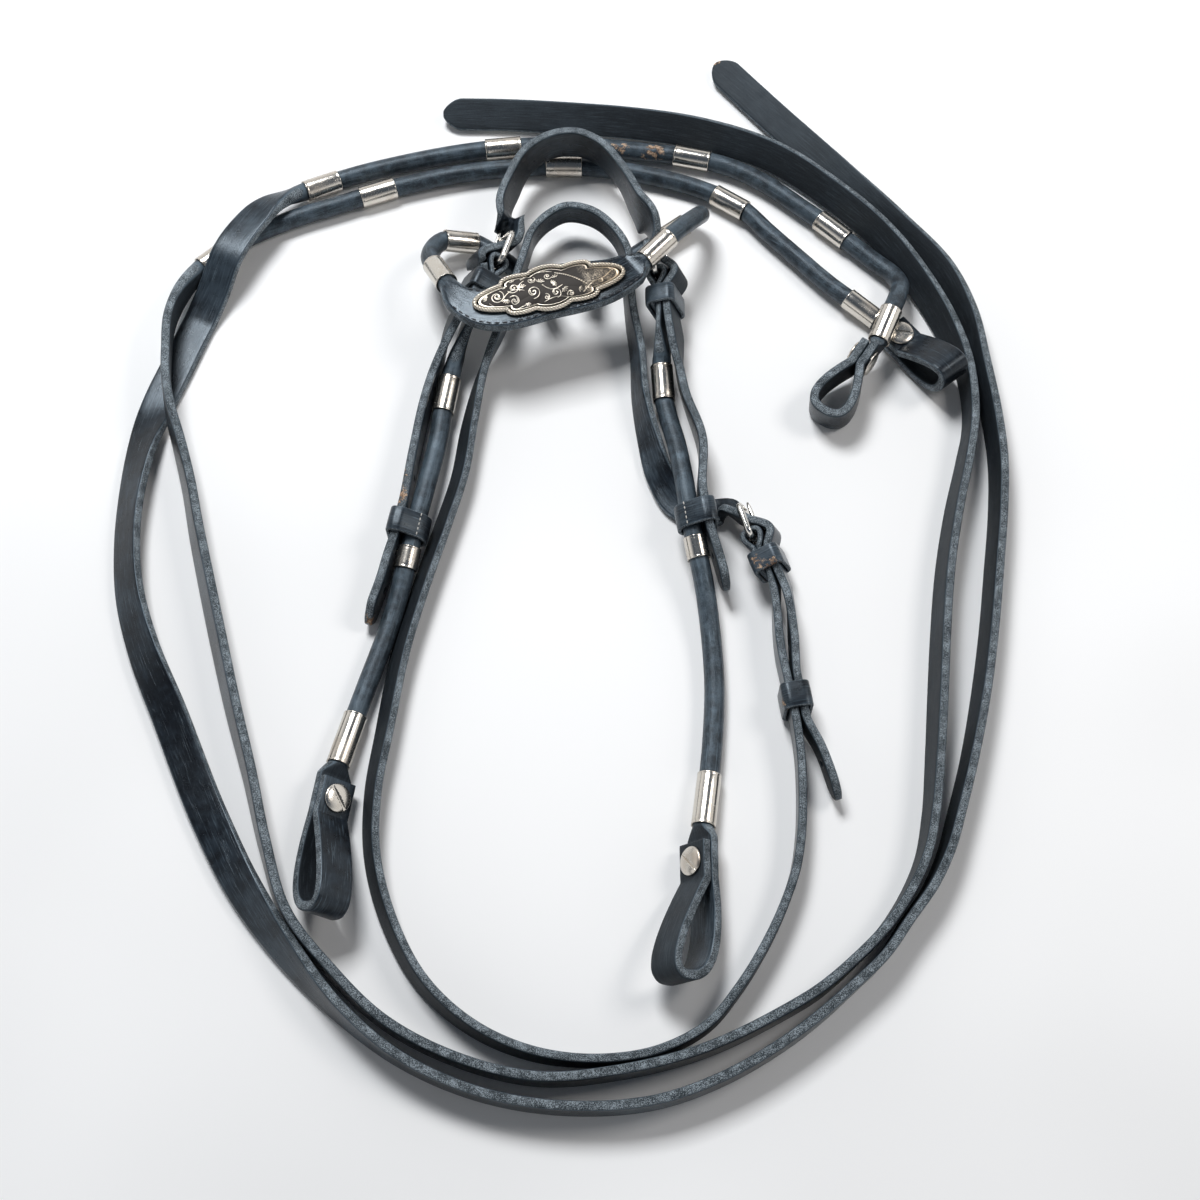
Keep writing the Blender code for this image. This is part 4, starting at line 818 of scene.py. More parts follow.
def pathObject(name, points, cyclic=False):
    # a curve through the points, for a tree to grow on
    curve = bpy.data.curves.new(name, "CURVE")
    curve.dimensions = "3D"
    spline = curve.splines.new("POLY")
    spline.points.add(len(points) - 1)
    spline.points.foreach_set("co", np.column_stack([inFrame(points), np.ones(len(points))]).ravel())
    spline.use_cyclic_u = cyclic
    piece = bpy.data.objects.new(name, curve)
    scene.collection.objects.link(piece)
    return piece


def grow(piece, tree, values):
    modifier = piece.modifiers.new("grow", "NODES")
    modifier.node_group = tree
    for item in tree.interface.items_tree:
        if item.item_type == "SOCKET" and item.in_out == "INPUT" and item.name in values:
            modifier[item.identifier] = values[item.name]
    return baked(piece)


stitches = {"pitch": 0.0036, "length": 0.0026, "width": 0.0008, "lift": 0.0001, "inset": 0.0016}
keeperStitches = {"pitch": 0.0023, "length": 0.0016, "width": 0.0006}
stitchRow = stitchTree()


def sew(name, points, body, thread=blackThread, sizes=stitches):
    values = {"Pitch": sizes["pitch"], "Length": sizes["length"], "Width": sizes["width"], "Thread": thread}
    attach(grow(pathObject(name, points), stitchRow, values), body)


def onTop(piece, points, lift):
    # the points brought down to just above the upper face of the piece under them
    found = []
    for x, y, _ in inFrame(points):
        hit, place, _, _ = piece.ray_cast((x, y, 1.0), (0.0, 0.0, -1.0))
        if hit:
            found.append(np.array(place) + (0.0, 0.0, lift) - layout["shift"])
    return np.array(found)


# "resting" names the strap entries between which the rein lies flat on the floor
outerRein = {
    "neck": (130.5, 124.5, 14.6), "forward": (-0.55, -0.82, -0.13), "width": (0, 0, 1), "lift": 0.0,
    "roll": [
        (132.5, 128, 16, 0), (138, 141, 18.2, 0), (143, 153, 14.8, 0), (145.5, 164, 9.5, 0),
        (142.5, 172, 6.4, 0), (136, 178.5, 5.4, 0), (125, 189, 5.4, 0), (117, 197, 5.4, 0),
        (100, 212, 5.4, 0), (83, 226, 5.4, 0), (66, 236, 5.4, 0), (48, 242, 5.4, 0), (20, 246, 5.4, 0),
        (-10, 249.5, 5.4, 0), (-47, 248.5, 5.4, 0), (-71, 245, 5.4, 0), (-101, 238, 5.4, 0),
        (-121, 232, 5.4, 0), (-139, 225, 5.6, 0), (-151, 217.5, 8.5, -30),
    ],
    "strap": [
        (-163, 207, 14, -70), (-173, 193, 15.5, -84), (-181, 177, 15.4, -90), (-188, 161, 7, -90),
        (-194.5, 146, 2.1, -90), (-203, 121, 2.1, -90), (-210, 99, 2.3, -88), (-214, 78, 5.2, -64),
        (-216, 55, 6.8, -52), (-216, 28, 7, -48), (-212, 0, 6.8, -52), (-203, -27, 6, -60),
        (-190, -55, 4.4, -75), (-167, -105, 3.6, -80), (-152, -132, 5.4, -64), (-131, -161, 7.4, -38),
        (-107, -187, 8.1, -14), (-82, -206, 8, -4), (-48, -220.5, 8, 0), (-11, -226, 8, 0),
        (25, -223, 8, 0), (48, -215, 8, 0), (72, -202, 8, 0), (87, -191.5, 8, 0), (103, -178, 8, 2),
        (117, -165, 8, 3), (128, -150, 8, 5), (139, -135, 8, 7), (147, -119, 8.1, 9),
        (152, -104, 8.1, 10), (160, -78, 8.2, 10), (167.5, -48, 8.2, 12), (173.5, -18, 8.2, 12),
        (178.5, 13, 8.2, 12), (183, 43, 8.2, 12), (185, 66, 8.2, 12), (184.5, 88, 8.2, 12),
        (181, 118, 8.2, 17), (176, 147, 8, 30), (167.5, 170, 7.6, 40), (145, 200.5, 7.4, 45),
        (121, 230, 5.9, 60), (88, 268.5, 5, 68), (60, 302, 4.8, 70),
    ],
    "first": (135.97, 135.89, 17.96), "ferrules": (0.0, 0.079, 0.162, 0.258, 0.352), "resting": (4, 5),
    "worn": [(27, 242, 12, 14), (10, 243, 12, 12), (60, 302, 8, 5)],
}
innerRein = {
    "neck": (139, 141.2, 4.3), "forward": (0.62, -0.785, 0), "width": (0.785, 0.62, 0),
    "lift": eyeCut["lift"],
    "roll": [
        (127, 151.5, 6.6, 60), (112, 165.5, 6.1, 30), (96, 183, 5.4, 30), (84, 196, 5.4, 0),
        (69, 212.5, 5.4, 0), (50, 223, 5.4, 0), (25, 231, 5.4, 0), (5, 235, 5.4, 0), (-15, 237, 5.4, 0),
        (-40, 236, 5.4, 0), (-66, 233, 5.4, 0), (-86, 228.5, 5.4, 0), (-108, 222, 5.4, 0),
        (-130, 213.5, 5.4, 0), (-149, 206.5, 5.4, 0), (-172, 195, 5.4, 0), (-185, 186, 5.6, 0),
    ],
    "strap": [
        (-192.5, 179, 6.2, 0), (-198.5, 168, 8.6, 0), (-203.5, 153, 12.4, -4), (-206, 139, 14, -6),
        (-205.5, 122, 14.5, -8), (-204, 106, 14.8, -9), (-200.5, 90, 14.8, -11), (-196, 75, 11, -15),
        (-190, 54, 8.6, -18), (-185, 33, 8.3, -20), (-177, 3, 8.3, -22), (-169, -26, 8.3, -22),
        (-161, -54, 8.3, -20), (-151, -86, 8.3, -16), (-142, -117.5, 8.2, -12), (-131, -147, 8.2, -8),
        (-110, -172, 8.1, -5), (-89, -191, 8, -2), (-60, -206, 8, 0), (-24, -214.5, 8, 0),
        (7, -212, 8, 0), (40, -204, 8, 0), (73, -189, 8, 0), (90, -179, 8, 0), (104.5, -167, 8, 2),
        (118.5, -153, 8, 3), (128.5, -139, 8, 5), (136.5, -123, 8, 7), (141.5, -103, 8.1, 9),
        (145, -78, 8.2, 12), (148.5, -48, 8.2, 14), (152, -18, 8.2, 14), (156.5, 13, 8.2, 14),
        (163, 43, 8.2, 14), (170, 69, 8.2, 12), (174, 87, 8.1, 8), (174.8, 104, 8.1, 8),
        (173, 121, 8.1, 12), (167.5, 138.5, 8.2, 23), (156.5, 164, 8, 30), (137.5, 195, 8, 32),
        (116.5, 217.5, 7.9, 33), (89, 240, 7.8, 36), (50, 256, 7.5, 42), (19, 262.5, 6.8, 50),
        (-12, 266, 6.3, 56), (-45, 268.5, 5.9, 60), (-80, 269.5, 5.6, 64),
    ],
    "first": (127, 151.5, 6.6), "ferrules": (0.0, 0.089, 0.176, 0.271, 0.359), "resting": (),
    "worn": [],
}


def makeRein(label, cut):
    # bit eye, rolled length with its ferrules, then flat to the pointed tail
    wide, thick = strapCut["width"], strapCut["thickness"]
    neck, forward, pitch = placeOf(cut["neck"]), unit(cut["forward"]), thick + gap
    eye, side = eyeStations("rein", neck, forward, cut["width"], pitch, cut["lift"])
    rail = Rail(eye + [(neck, eye[0][1])] + routeStations(cut["roll"] + cut["strap"]))
    neckAt, first = rail.nearest(neck), rail.nearest(placeOf(cut["first"]))
    half = ferruleCut["long"] / 2
    rail.hold([(first + s - half, first + s + half) for s in cut["ferrules"]])
    if cut["resting"]:
        ends = [rail.nearest(placeOf(cut["strap"][k])) for k in cut["resting"]]
        middle, reach = sum(ends) / 2, 0.35 * (ends[1] - ends[0])
        rail.hold([(middle - reach, middle + reach)], resting=True)
    rolledEnd = first + cut["ferrules"][-1] + half
    shape = StrapShape().add(0.0, wide, thick).add(neckAt, wide, thick)
    shape.roll(min(neckAt + rollCut["taper"], first - half)).roll(rolledEnd)
    shape.add(rolledEnd + rollCut["flatten"], wide, thick)
    pointTip(shape, rail.length, wide, thick)
    fine = [(0.0, neckAt + 0.01, 0.0009), (rail.length - strapCut["tip"], rail.length, 0.0008)]
    piece = loftStrap(f"rein_{label}_leather", rail, shape, reinLeather, fine=fine, spots=cut["worn"])
    fit(piece, "rein_" + label)
    for k, s in enumerate(cut["ferrules"], 1):
        makeFerrule(f"rein_{label}_ferrule_{k}", rail, first + s, ferruleCut["long"])
    makeScrew("rein_" + label, "rein", neck, forward, side)


makeRein("outer", outerRein)
makeRein("inner", innerRein)
print("reins made")


cheekCut = {
    "left": {
        "hand": 1, "up": (0.3, 0.95, 0.0), "down": (-0.16, -1.0, 0.0), "topFerrule": 4, "keeper": 7,
        "bow": 0.002, "tip": 0.034,
        "route": [
            (-59, 148, 20.5, -30), (-62.5, 138, 17.5, -26), (-66.5, 127, 12.5, -14), (-70, 116, 9.2, 0),
            (-73, 103, 7.3, 0), (-75.5, 80, 7.4, 0), (-80, 54, 9.6, 0), (-84.5, 31, 10.8, 0),
            (-87, 18, 9.4, 0), (-90.5, 0, 6.8, 0), (-94, -14, 5.5, 0), (-103.5, -46, 5.4, 0),
            (-110.5, -70, 5.8, 10), (-114.5, -87, 7.4, 50),
        ],
    },
    "right": {
        "hand": -1, "up": (0.02, 1.0, 0.0), "down": (0.0, -1.0, 0.0), "topFerrule": 3, "keeper": 7,
        "bow": 0.0045, "tip": 0.021,
        "route": [
            (30.5, 141, 17.9, 22), (30, 131, 16, 20), (29.3, 119, 12, 12), (29, 107, 9.4, 0),
            (31.5, 92, 9.6, 0), (35.5, 74, 12, 0), (38.2, 56, 14.8, 0), (41, 34, 15.6, 0),
            (43.6, 20, 14, 0), (47, 2, 10, 0), (49.5, -20, 6.4, 0), (50.5, -45, 5.4, 0),
            (49, -70, 5.4, 0), (46, -96, 5.8, -8), (43.5, -115, 7.9, -39),
        ],
    },
}
crownCut = {
    "width": 0.019, "thickness": 0.004, "billet": 0.0155, "widening": 0.012,
    "arch": [
        (-47, 199, 20.6, -12), (-43, 214, 20.8, -8), (-36, 229, 20.9, -4), (-25, 238, 20.9, 0),
        (-12, 240, 20.9, 0), (0, 234, 20.9, 0), (10, 221, 20.9, 0), (18, 203, 20.8, -8),
        (24.5, 188, 20.6, -14),
    ],
    "worn": [(-91, 56, 21, 11), (-93, 44, 19, 11), (-103, -13, 7, 7), (56, 22, 20, 4)],
}


class Cheek:
    # a rolled cheekpiece, and the places along its rail that other pieces share

    def __init__(self, label):
        self.label, self.cut = label, cheekCut[label]
        cut, skived, short = self.cut, strapCut["skived"], ferruleCut["short"]
        self.hand, self.up, self.down = cut["hand"], unit(cut["up"]), unit(cut["down"])
        stations = routeStations(cut["route"])
        (top, lead), (self.neck, tail) = stations[0], stations[-1]
        fold, _ = eyeStations("fold", top, self.up, lead, skived + gap, hand=self.hand)
        pitch = strapCut["thickness"] + gap
        loop, self.screwSide = eyeStations("bit", self.neck, self.down, tail, pitch, eyeCut["lift"],
                                           -self.hand)
        self.rail = Rail(fold + stations + loop[::-1])
        self.foldNeck, self.bitNeck = self.rail.nearest(top), self.rail.nearest(self.neck)
        self.topFerrule, self.keeper = (self.rail.nearest(placeOf(cut["route"][cut[key]]))
                                        for key in ("topFerrule", "keeper"))
        half = keeperCut["length"] / 2
        self.shortFerrule = self.keeper + half + short / 2 + 5 * slip
        longFerrule = self.bitNeck - ferruleCut["cheek"] / 2 - rollCut["taper"]
        self.small = tuple(self.foldNeck - run for run in keeperCut["small"])
        self.flat = (self.keeper - half - keeperCut["slide"], self.keeper + half)
        ferrules = ((self.topFerrule, ferruleCut["long"]), (self.shortFerrule, short),
                    (longFerrule, ferruleCut["cheek"]))
        self.bands = [(middle - length / 2, middle + length / 2) for middle, length in ferrules]
        self.rail.hold([self.small, self.flat] + self.bands)
        width = self.rail.at(self.foldNeck - eyeCut["fold"]["tab"] / 2)[2]
        self.seat = foldSeat(top, self.up, -self.hand * unit(np.cross(self.up, width)))
        self.beside = rollCut["diameter"] / 2 + 2 * gap + crownCut["thickness"] / 2
        self.besideFold = skived / 2 + gap + crownCut["thickness"] / 2

    def make(self):
        rail = self.rail
        wide, thick, skived = strapCut["width"], strapCut["thickness"], strapCut["skived"]
        shape = StrapShape().add(0.0, wide, skived).add(self.foldNeck + 2 * rollCut["lead"], wide, skived)
        shape.roll(self.bands[0][0] - rollCut["lead"]).roll(self.bands[2][1])
        shape.add(self.bitNeck, wide, thick).add(rail.length, wide, thick)
        fine = [(0.0, self.foldNeck, 0.0007), (self.bitNeck - 0.006, rail.length, 0.0009)]
        piece = loftStrap(f"cheekpiece_{self.label}_leather", rail, shape, cheekLeather, 0.0018, fine)
        fit(cutAway(piece, [foldSlot(self.seat)]), "cheekpiece_" + self.label)
        name = "cheek_" + self.label
        for place, (start, end) in zip(("top", "middle", "bottom"), self.bands):
            makeFerrule(f"{name}_ferrule_{place}", rail, (start + end) / 2, end - start)
        makeScrew(name, "bit", self.neck, self.down, self.screwSide)
        self.makeKeepers(name)
        makeBuckle(name, self.seat, wide, buckleCut["length"])

    def makeKeepers(self, name):
        hand, wide, skived = self.hand, strapCut["width"], strapCut["skived"]
        billet = crownCut["billet"], crownCut["thickness"]
        frameAt, length = self.rail.at(self.keeper), keeperCut["length"] - 2 * slip
        loop = [(0.0, 0.0, rollCut["diameter"] / 2)] + layer(*billet, hand * self.beside)
        keeper = makeKeeper(name + "_keeper", frameAt, length, loop)
        centre, travel, _, side = frameAt
        line = centre - hand * 0.3 * rollCut["diameter"] * side
        line = onTop(keeper, line + np.outer(np.linspace(-0.4, 0.4, 9) * length, travel), stitches["lift"])
        sew(name + "_keeper_stitches", line, "keeper_" + self.label, paleThread, keeperStitches)
        loop = layer(wide, skived, 0.0) + layer(wide, skived, -hand * (skived + gap))
        loop += layer(*billet, hand * self.besideFold)
        start, end = self.small
        makeKeeper(name + "_buckle_keeper", self.rail.at((start + end) / 2), end - start, loop)

    def billet(self):
        # the crown's billet, from its tip up to the crown side of the buckle
        near, fold, past, neck = self.beside, self.besideFold, self.shortFerrule, self.foldNeck
        bow, tip, half = self.cut["bow"], self.cut["tip"], keeperCut["length"] / 2
        # how far along the cheek, and how far beside it
        entries = [
            (past + tip, near + 0.0025), (past + 0.5 * tip, near + 0.0018), (past, near + 0.0009),
            (self.keeper + half, near), (self.keeper, near), (self.flat[0], near),
            ((self.keeper + self.topFerrule) / 2, near + bow), (self.topFerrule + half, near + 0.7 * bow),
            (self.topFerrule - half, near + 0.3 * bow), (neck + 0.012, fold + 0.0028), (neck, fold + gap),
            (neck - 0.006, fold), (self.small[0], fold),
        ]
        stations = [self.rail.beside(s, self.hand * offset) for s, offset in entries]
        return stations + overBars(self.seat, crownCut["thickness"], buckleCut["length"])


def makeCrown(*cheeks):
    left, right = cheeks
    rail = Rail(left.billet() + routeStations(crownCut["arch"]) + right.billet()[::-1])
    straight, ends = [], []
    for cheek in cheeks:
        for span, offset in ((cheek.flat, cheek.beside), (cheek.small, cheek.besideFold)):
            found = [rail.nearest(cheek.rail.beside(s, cheek.hand * offset)[0]) for s in span]
            straight.append((min(found), max(found)))
        ends.append(rail.nearest(cheek.seat[0] + buckleCut["run"] * buckleCut["length"] * cheek.up))
    rail.hold(straight)
    billet, thick, widening = crownCut["billet"], crownCut["thickness"], crownCut["widening"]
    tip = strapCut["tip"]
    shape = StrapShape()
    pointTip(shape, 0.0, billet, thick, 1, 1.0)
    shape.add(ends[0], billet, thick).add(ends[0] + widening, crownCut["width"], thick)
    shape.add(ends[1] - widening, crownCut["width"], thick).add(ends[1], billet, thick)
    pointTip(shape, rail.length, billet, thick)
    fine = [(0.0, tip, 0.0008), (rail.length - tip, rail.length, 0.0008)]
    fine += [(ends[0] - 0.03, ends[0], 0.0009), (ends[1], ends[1] + 0.03, 0.0009)]
    piece = loftStrap("crown_leather", rail, shape, crownLeather, 0.002, fine, crownCut["worn"])
    cutters = punches(rail, punchRuns + [rail.length - run for run in punchRuns[:3]])
    cutters += [tongueHole(cheek.seat, buckleCut["length"]) for cheek in cheeks]
    fit(cutAway(piece, cutters), "crown_strap")


leftCheek, rightCheek = Cheek("left"), Cheek("right")
makeCrown(leftCheek, rightCheek)
leftCheek.make()
rightCheek.make()
print("cheeks and crown made")


throatCut = {
    "width": 0.0135, "thickness": 0.0038, "up": (-0.3, 0.95, 0.0), "lowKeeper": 4, "small": (0.0115, 0.0015),
    "buckleRoute": [
        (77.8, 6.6, 11.7, 22), (78.8, 0, 10.4, 14), (79, -9, 9, 4), (79.5, -26, 8.6, 0),
        (83.5, -53, 9.6, 0), (85.5, -68, 9.4, 0), (86.5, -80, 8.2, 0),
    ],
    "loopRoute": [
        (86.5, -95, 7.2, 0), (85.5, -111, 6.8, 0), (82.5, -128, 6.8, 0), (77, -143, 6.8, 0),
        (68, -161, 6.8, 0), (57, -178, 6.8, 0), (44, -193, 6.8, 0), (25, -203, 6.8, 0), (0, -207, 6.8, 0),
        (-28, -204, 6.8, 4), (-50, -195, 6.9, 8), (-72, -177, 6.9, 14), (-88, -150, 6.9, 20),
        (-97, -118, 6.9, 24), (-97.5, -93, 6.9, 28), (-94, -66, 6.8, 32), (-88, -26, 6.8, 34),
        (-80, 6, 6.8, 34), (-72, 34, 6.8, 34), (-65, 60, 7, 32), (-61, 88, 8, 28), (-55, 116, 11, 14),
        (-46.5, 138, 15, 0), (-41, 157, 16.8, 0), (-36.5, 174, 16.9, 0), (-33, 186, 16.9, 0),
        (-25.5, 195.5, 16.9, 0), (-17, 200.5, 16.9, 0), (-4, 198, 16.9, 0), (6, 189, 16.9, 0),
        (12.5, 176, 16.9, -6), (13.5, 160, 16.5, -8), (15, 143, 14, -10), (18, 124, 10, -18),
        (19, 104, 7.6, -24), (23, 80, 6.9, -40), (29, 59, 4.4, -66), (36, 47, 2.3, -86),
        (45, 42, 2.1, -90), (53, 43, 2.2, -92), (58.5, 43, 5, -118),
    ],
    "worn": [(79, 34, 14, 7)], "keeperWorn": [(77, 8, 20, 10), (70, 11, 19, 7), (81, -56, 15, 8)],
}


def makeThroatlatch():
    # one strap from its own buckle fold, round the loop and back over the buckle as its billet
    cut, skived = throatCut, strapCut["skived"]
    wide, thick, length = cut["width"], cut["thickness"], buckleCut["throatLength"]
    near, up = routeStations(cut["buckleRoute"]), unit(cut["up"])
    neck, lead = near[0]
    fold, side = eyeStations("fold", neck, up, lead, skived + gap, hand=-1)
    seat = bar, _, out, width = foldSeat(neck, up, -unit(side))
    # the short rail that the billet and the keepers lie beside
    first = Rail(fold + near + routeStations(cut["loopRoute"][:3]))
    neckAt, lowAt = first.nearest(neck), first.nearest(placeOf(cut["buckleRoute"][cut["lowKeeper"]]))
    reach = keeperCut["length"] / 2 + keeperCut["slide"]
    upper, lower = tuple(neckAt - run for run in cut["small"]), (lowAt - reach, lowAt + reach)
    first.hold([upper, lower])
    beside, offset = skived / 2 + 2 * gap + thick / 2, thick + 2 * gap
    # how far along that rail the billet comes back, and how far beside it
    spread = [
        (upper[0], beside), (sum(upper) / 2, beside), (upper[1], beside), (neckAt + 0.006, offset + 0.0006),
        ((neckAt + lowAt) / 2, offset + 0.0022), (lower[0], offset), (lowAt, offset), (lower[1], offset),
        (lowAt + 0.022, offset + 0.0045), (lowAt + 0.044, offset + 0.0115),
    ]
    billet = [(place, -direction) for place, direction in (first.beside(s, -away) for s, away in spread)]
    arrive = overBars((bar, up, out, -width), thick, length)[2::-1]
    rail = Rail(fold + near + routeStations(cut["loopRoute"]) + arrive + billet)
    half, straight = rail.length / 2, []
    for span, away in ((upper, beside), (lower, offset)):
        ends = [rail.nearest(first.beside(s, -away)[0], half) for s in span]
        straight += [span, (min(ends), max(ends))]
    rail.hold(straight)
    passAt = rail.nearest(bar + buckleCut["run"] * length * up, half)
    shape = StrapShape().add(0.0, wide, skived).add(neckAt, wide, skived)
    shape.add(neckAt + strapCut["thicken"], wide, thick)
    pointTip(shape, rail.length, wide, thick)
    fine = [(0.0, upper[1], 0.0008), (passAt - 0.035, passAt + 0.04, 0.0009),
            (rail.length - 0.01, rail.length, 0.0008)]
    piece = loftStrap("throatlatch_leather", rail, shape, throatLeather, 0.002, fine, cut["worn"])
    cutters = punches(rail, [rail.length - run for run in punchRuns])
    fit(cutAway(piece, cutters + [foldSlot(seat), tongueHole(seat, length)]), "throatlatch_strap")
    loop = layer(wide, skived, 0.0) + layer(wide, skived, skived + gap) + layer(wide, thick, -beside)
    name, worn = "throatlatch_keeper_", cut["keeperWorn"]
    makeKeeper(name + "upper", first.at(sum(upper) / 2), upper[1] - upper[0], loop, worn)
    loop = layer(wide, thick, 0.0) + layer(wide, thick, -offset)
    makeKeeper(name + "lower", first.at(lowAt), keeperCut["length"] - 2 * slip, loop, worn)
    makeBuckle("throatlatch", seat, wide, length)


makeThroatlatch()
print("throatlatch made")


browCut = {
    "width": 0.027, "endWidth": 0.0165, "thickness": 0.0055, "waist": 1.85,
    "route": [
        (-26, 152, 22, -90), (-29, 160, 14, -70), (-34, 167, 6.4, -40), (-43, 177, 4.6, 0),
        (-51, 183.5, 5.2, 0), (-60, 189.5, 5.8, 0), (-69, 191.5, 8.5, 0), (-78, 185, 14, -20),
        (-82, 172, 20.5, -40), (-77.5, 160.5, 26, -60), (-71.5, 148.5, 31, -80),
        (-65.5, 138.5, 33.8, -90), (-56, 133.6, 34.5, -90), (-24, 142.3, 34.5, -90), (8, 151, 34.5, -90),
        (18.5, 158.5, 33.5, -90), (27.5, 167, 35.5, -80), (37, 178.5, 33, -60), (46.5, 192.5, 24, -40),
        (49, 201, 14, -20), (45, 202.5, 7.6, 0), (35, 195.5, 6, 0), (22.5, 187, 5.6, -20),
        (10, 178, 4.9, -50), (0, 169.5, 7.5, -75), (-5, 164, 14, -90), (-7, 158, 22, -90),
    ],
}
plateCut = {
    "length": 0.074, "height": 0.025, "thickness": 0.0016, "crown": 0.0016, "lobeDepth": 0.0017,
    "bulge": 0.035,
    "cusps": (-45, 45, 74, 106, 135, 225, 254, 286, 315),  # degrees round the outline
    "screws": 0.03996, "panHead": 0.0045, "ridge": 0.00021, "relief": 0.0003, "around": 600, "rings": 135,
}
ropeCut = {"width": 0.0024, "twists": 111, "strands": 3, "strand": 0.235, "sides": 8, "steps": 1500}
# in the plate's own millimetres and degrees
engravingCut = {
    # x, y, size, start, turns and hand
    "scrolls": [
        (-25, 0.5, 3.6, 200, 1.6, 1), (-16.5, 3.2, 3.0, 20, 1.5, -1), (-17.5, -3.6, 2.7, 340, 1.4, 1),
        (-8, -1.6, 3.4, 120, 1.6, -1), (-7.5, 5.2, 2.2, 300, 1.3, 1), (-2.5, -5.6, 1.6, 20, 1.2, 1),
        (2.2, -4.4, 2.6, 60, 1.4, -1), (0.5, 5.4, 1.9, 210, 1.3, 1), (-21, 5.2, 1.5, 90, 1.1, 1),
        (9, -6.4, 1.8, 120, 1.2, 1), (18, -5.4, 1.7, 250, 1.3, -1), (24, -2.6, 1.6, 20, 1.3, 1),
    ],
    # x, y, facing, number of veins and size
    "leaves": [
        (-29, 1, 150, 5, 2.6), (-21, -1.5, 250, 5, 2.4), (-13, 1.5, 80, 6, 2.8), (-4, 2.4, 60, 5, 2.4),
        (-12, -6, 270, 4, 1.8), (1, 0, 20, 6, 2.6), (4, 3.4, 100, 4, 2.0), (6, -2.6, 300, 5, 2.2),
        (13, -4.6, 330, 4, 1.8), (-16, 6.6, 100, 3, 1.6),
    ],
    "bar": {"from": (4.6, 6.6), "run": (12.4, -9.4), "rise": 0.9, "beads": 15, "bead": 0.34},
    # both ends and the bend of each stem
    "stems": [
        (-31, 1, -20, 6.5, 0.16), (-29, -2, -13, -7, -0.2), (-12, 7, 3, 7.6, 0.12),
        (-4, -7.6, 8, -7.8, 0.1), (8, 7.6, 24, 6.2, 0.1), (15, -6.8, 29, -3, 0.16),
        (-22, -1, -12, 0.5, 0.22), (-3, 1, 6, -1.2, -0.25), (-14, 0.8, -11, 5.8, 0.2),
        (18, -2.2, 30, 1.2, -0.12), (26, 4.8, 31, 1.6, 0.1),
    ],
}


def plateEdge(angle, inset=0.0):
    across, up = plateCut["length"] / 2 - inset, plateCut["height"] / 2 - inset
    cusps = np.array(plateCut["cusps"])
    turn = (np.degrees(angle) - cusps[0]) % 360 + cusps[0]
    lobe = np.clip(np.searchsorted(cusps, turn, side="right") - 1, 0, len(cusps) - 2)
    share = (turn - cusps[lobe]) / (cusps[lobe + 1] - cusps[lobe])
    scallop = 1 - plateCut["lobeDepth"] / up * (1 - np.sin(math.pi * share))
    bulge = 1 + plateCut["bulge"] * np.cos(2 * angle) ** 2
    return np.column_stack([across * np.cos(angle) * scallop, up * np.sin(angle) * scallop * bulge])


def scroll(x, y, size, start, turns, hand):
    # a leafy spiral that opens outwards
    angles = np.linspace(0.0, turns * 2 * math.pi, int(60 * turns))
    radius = size * (0.12 + 0.88 * angles / angles[-1])
    around = math.radians(start) + hand * angles
    return np.column_stack([x + radius * np.cos(around), y + radius * np.sin(around)])


def bow(x0, y0, x1, y1, bend):
    share = np.linspace(0, 1, 40)[:, None]
    return (x0, y0) + share * (x1 - x0, y1 - y0) + bend * np.sin(math.pi * share) * (y0 - y1, x1 - x0)


def engraving():
    lines, cut = [], engravingCut
    for x, y, size, start, turns, hand in cut["scrolls"]:
        # each scroll has a smaller one inside it
        lines.append(scroll(x, y, size, start, turns, hand))
        lines.append(scroll(x + 0.35, y + 0.2, 0.5 * size, start + 70, 0.7 * turns, hand))
    for x, y, facing, count, size in cut["leaves"]:
        for angle in np.radians(facing + np.linspace(-50, 50, count)):
            way = size * np.array((math.cos(angle), math.sin(angle)))
            lines.append(bow(*((x, y) + 0.35 * way), *((x, y) + way), 0.15))
    bar = cut["bar"]
    for share in np.linspace(0.0, 1.0, bar["beads"]):
        centre = bar["from"] + share * np.array(bar["run"]) + (0, bar["rise"] * math.sin(share * math.pi))
        lines.append(scroll(*centre, bar["bead"], 0, 1.0, 1))
    lines += [bow(*stem) for stem in cut["stems"]]
    return np.vstack(lines) / 1000


def nearestTo(points, path, batch):
    # how far each point is from a path, in batches that fit the memory
    return np.concatenate([np.linalg.norm(points[k:k + batch, None] - path[None], axis=2).min(axis=1)
                           for k in range(0, len(points), batch)])


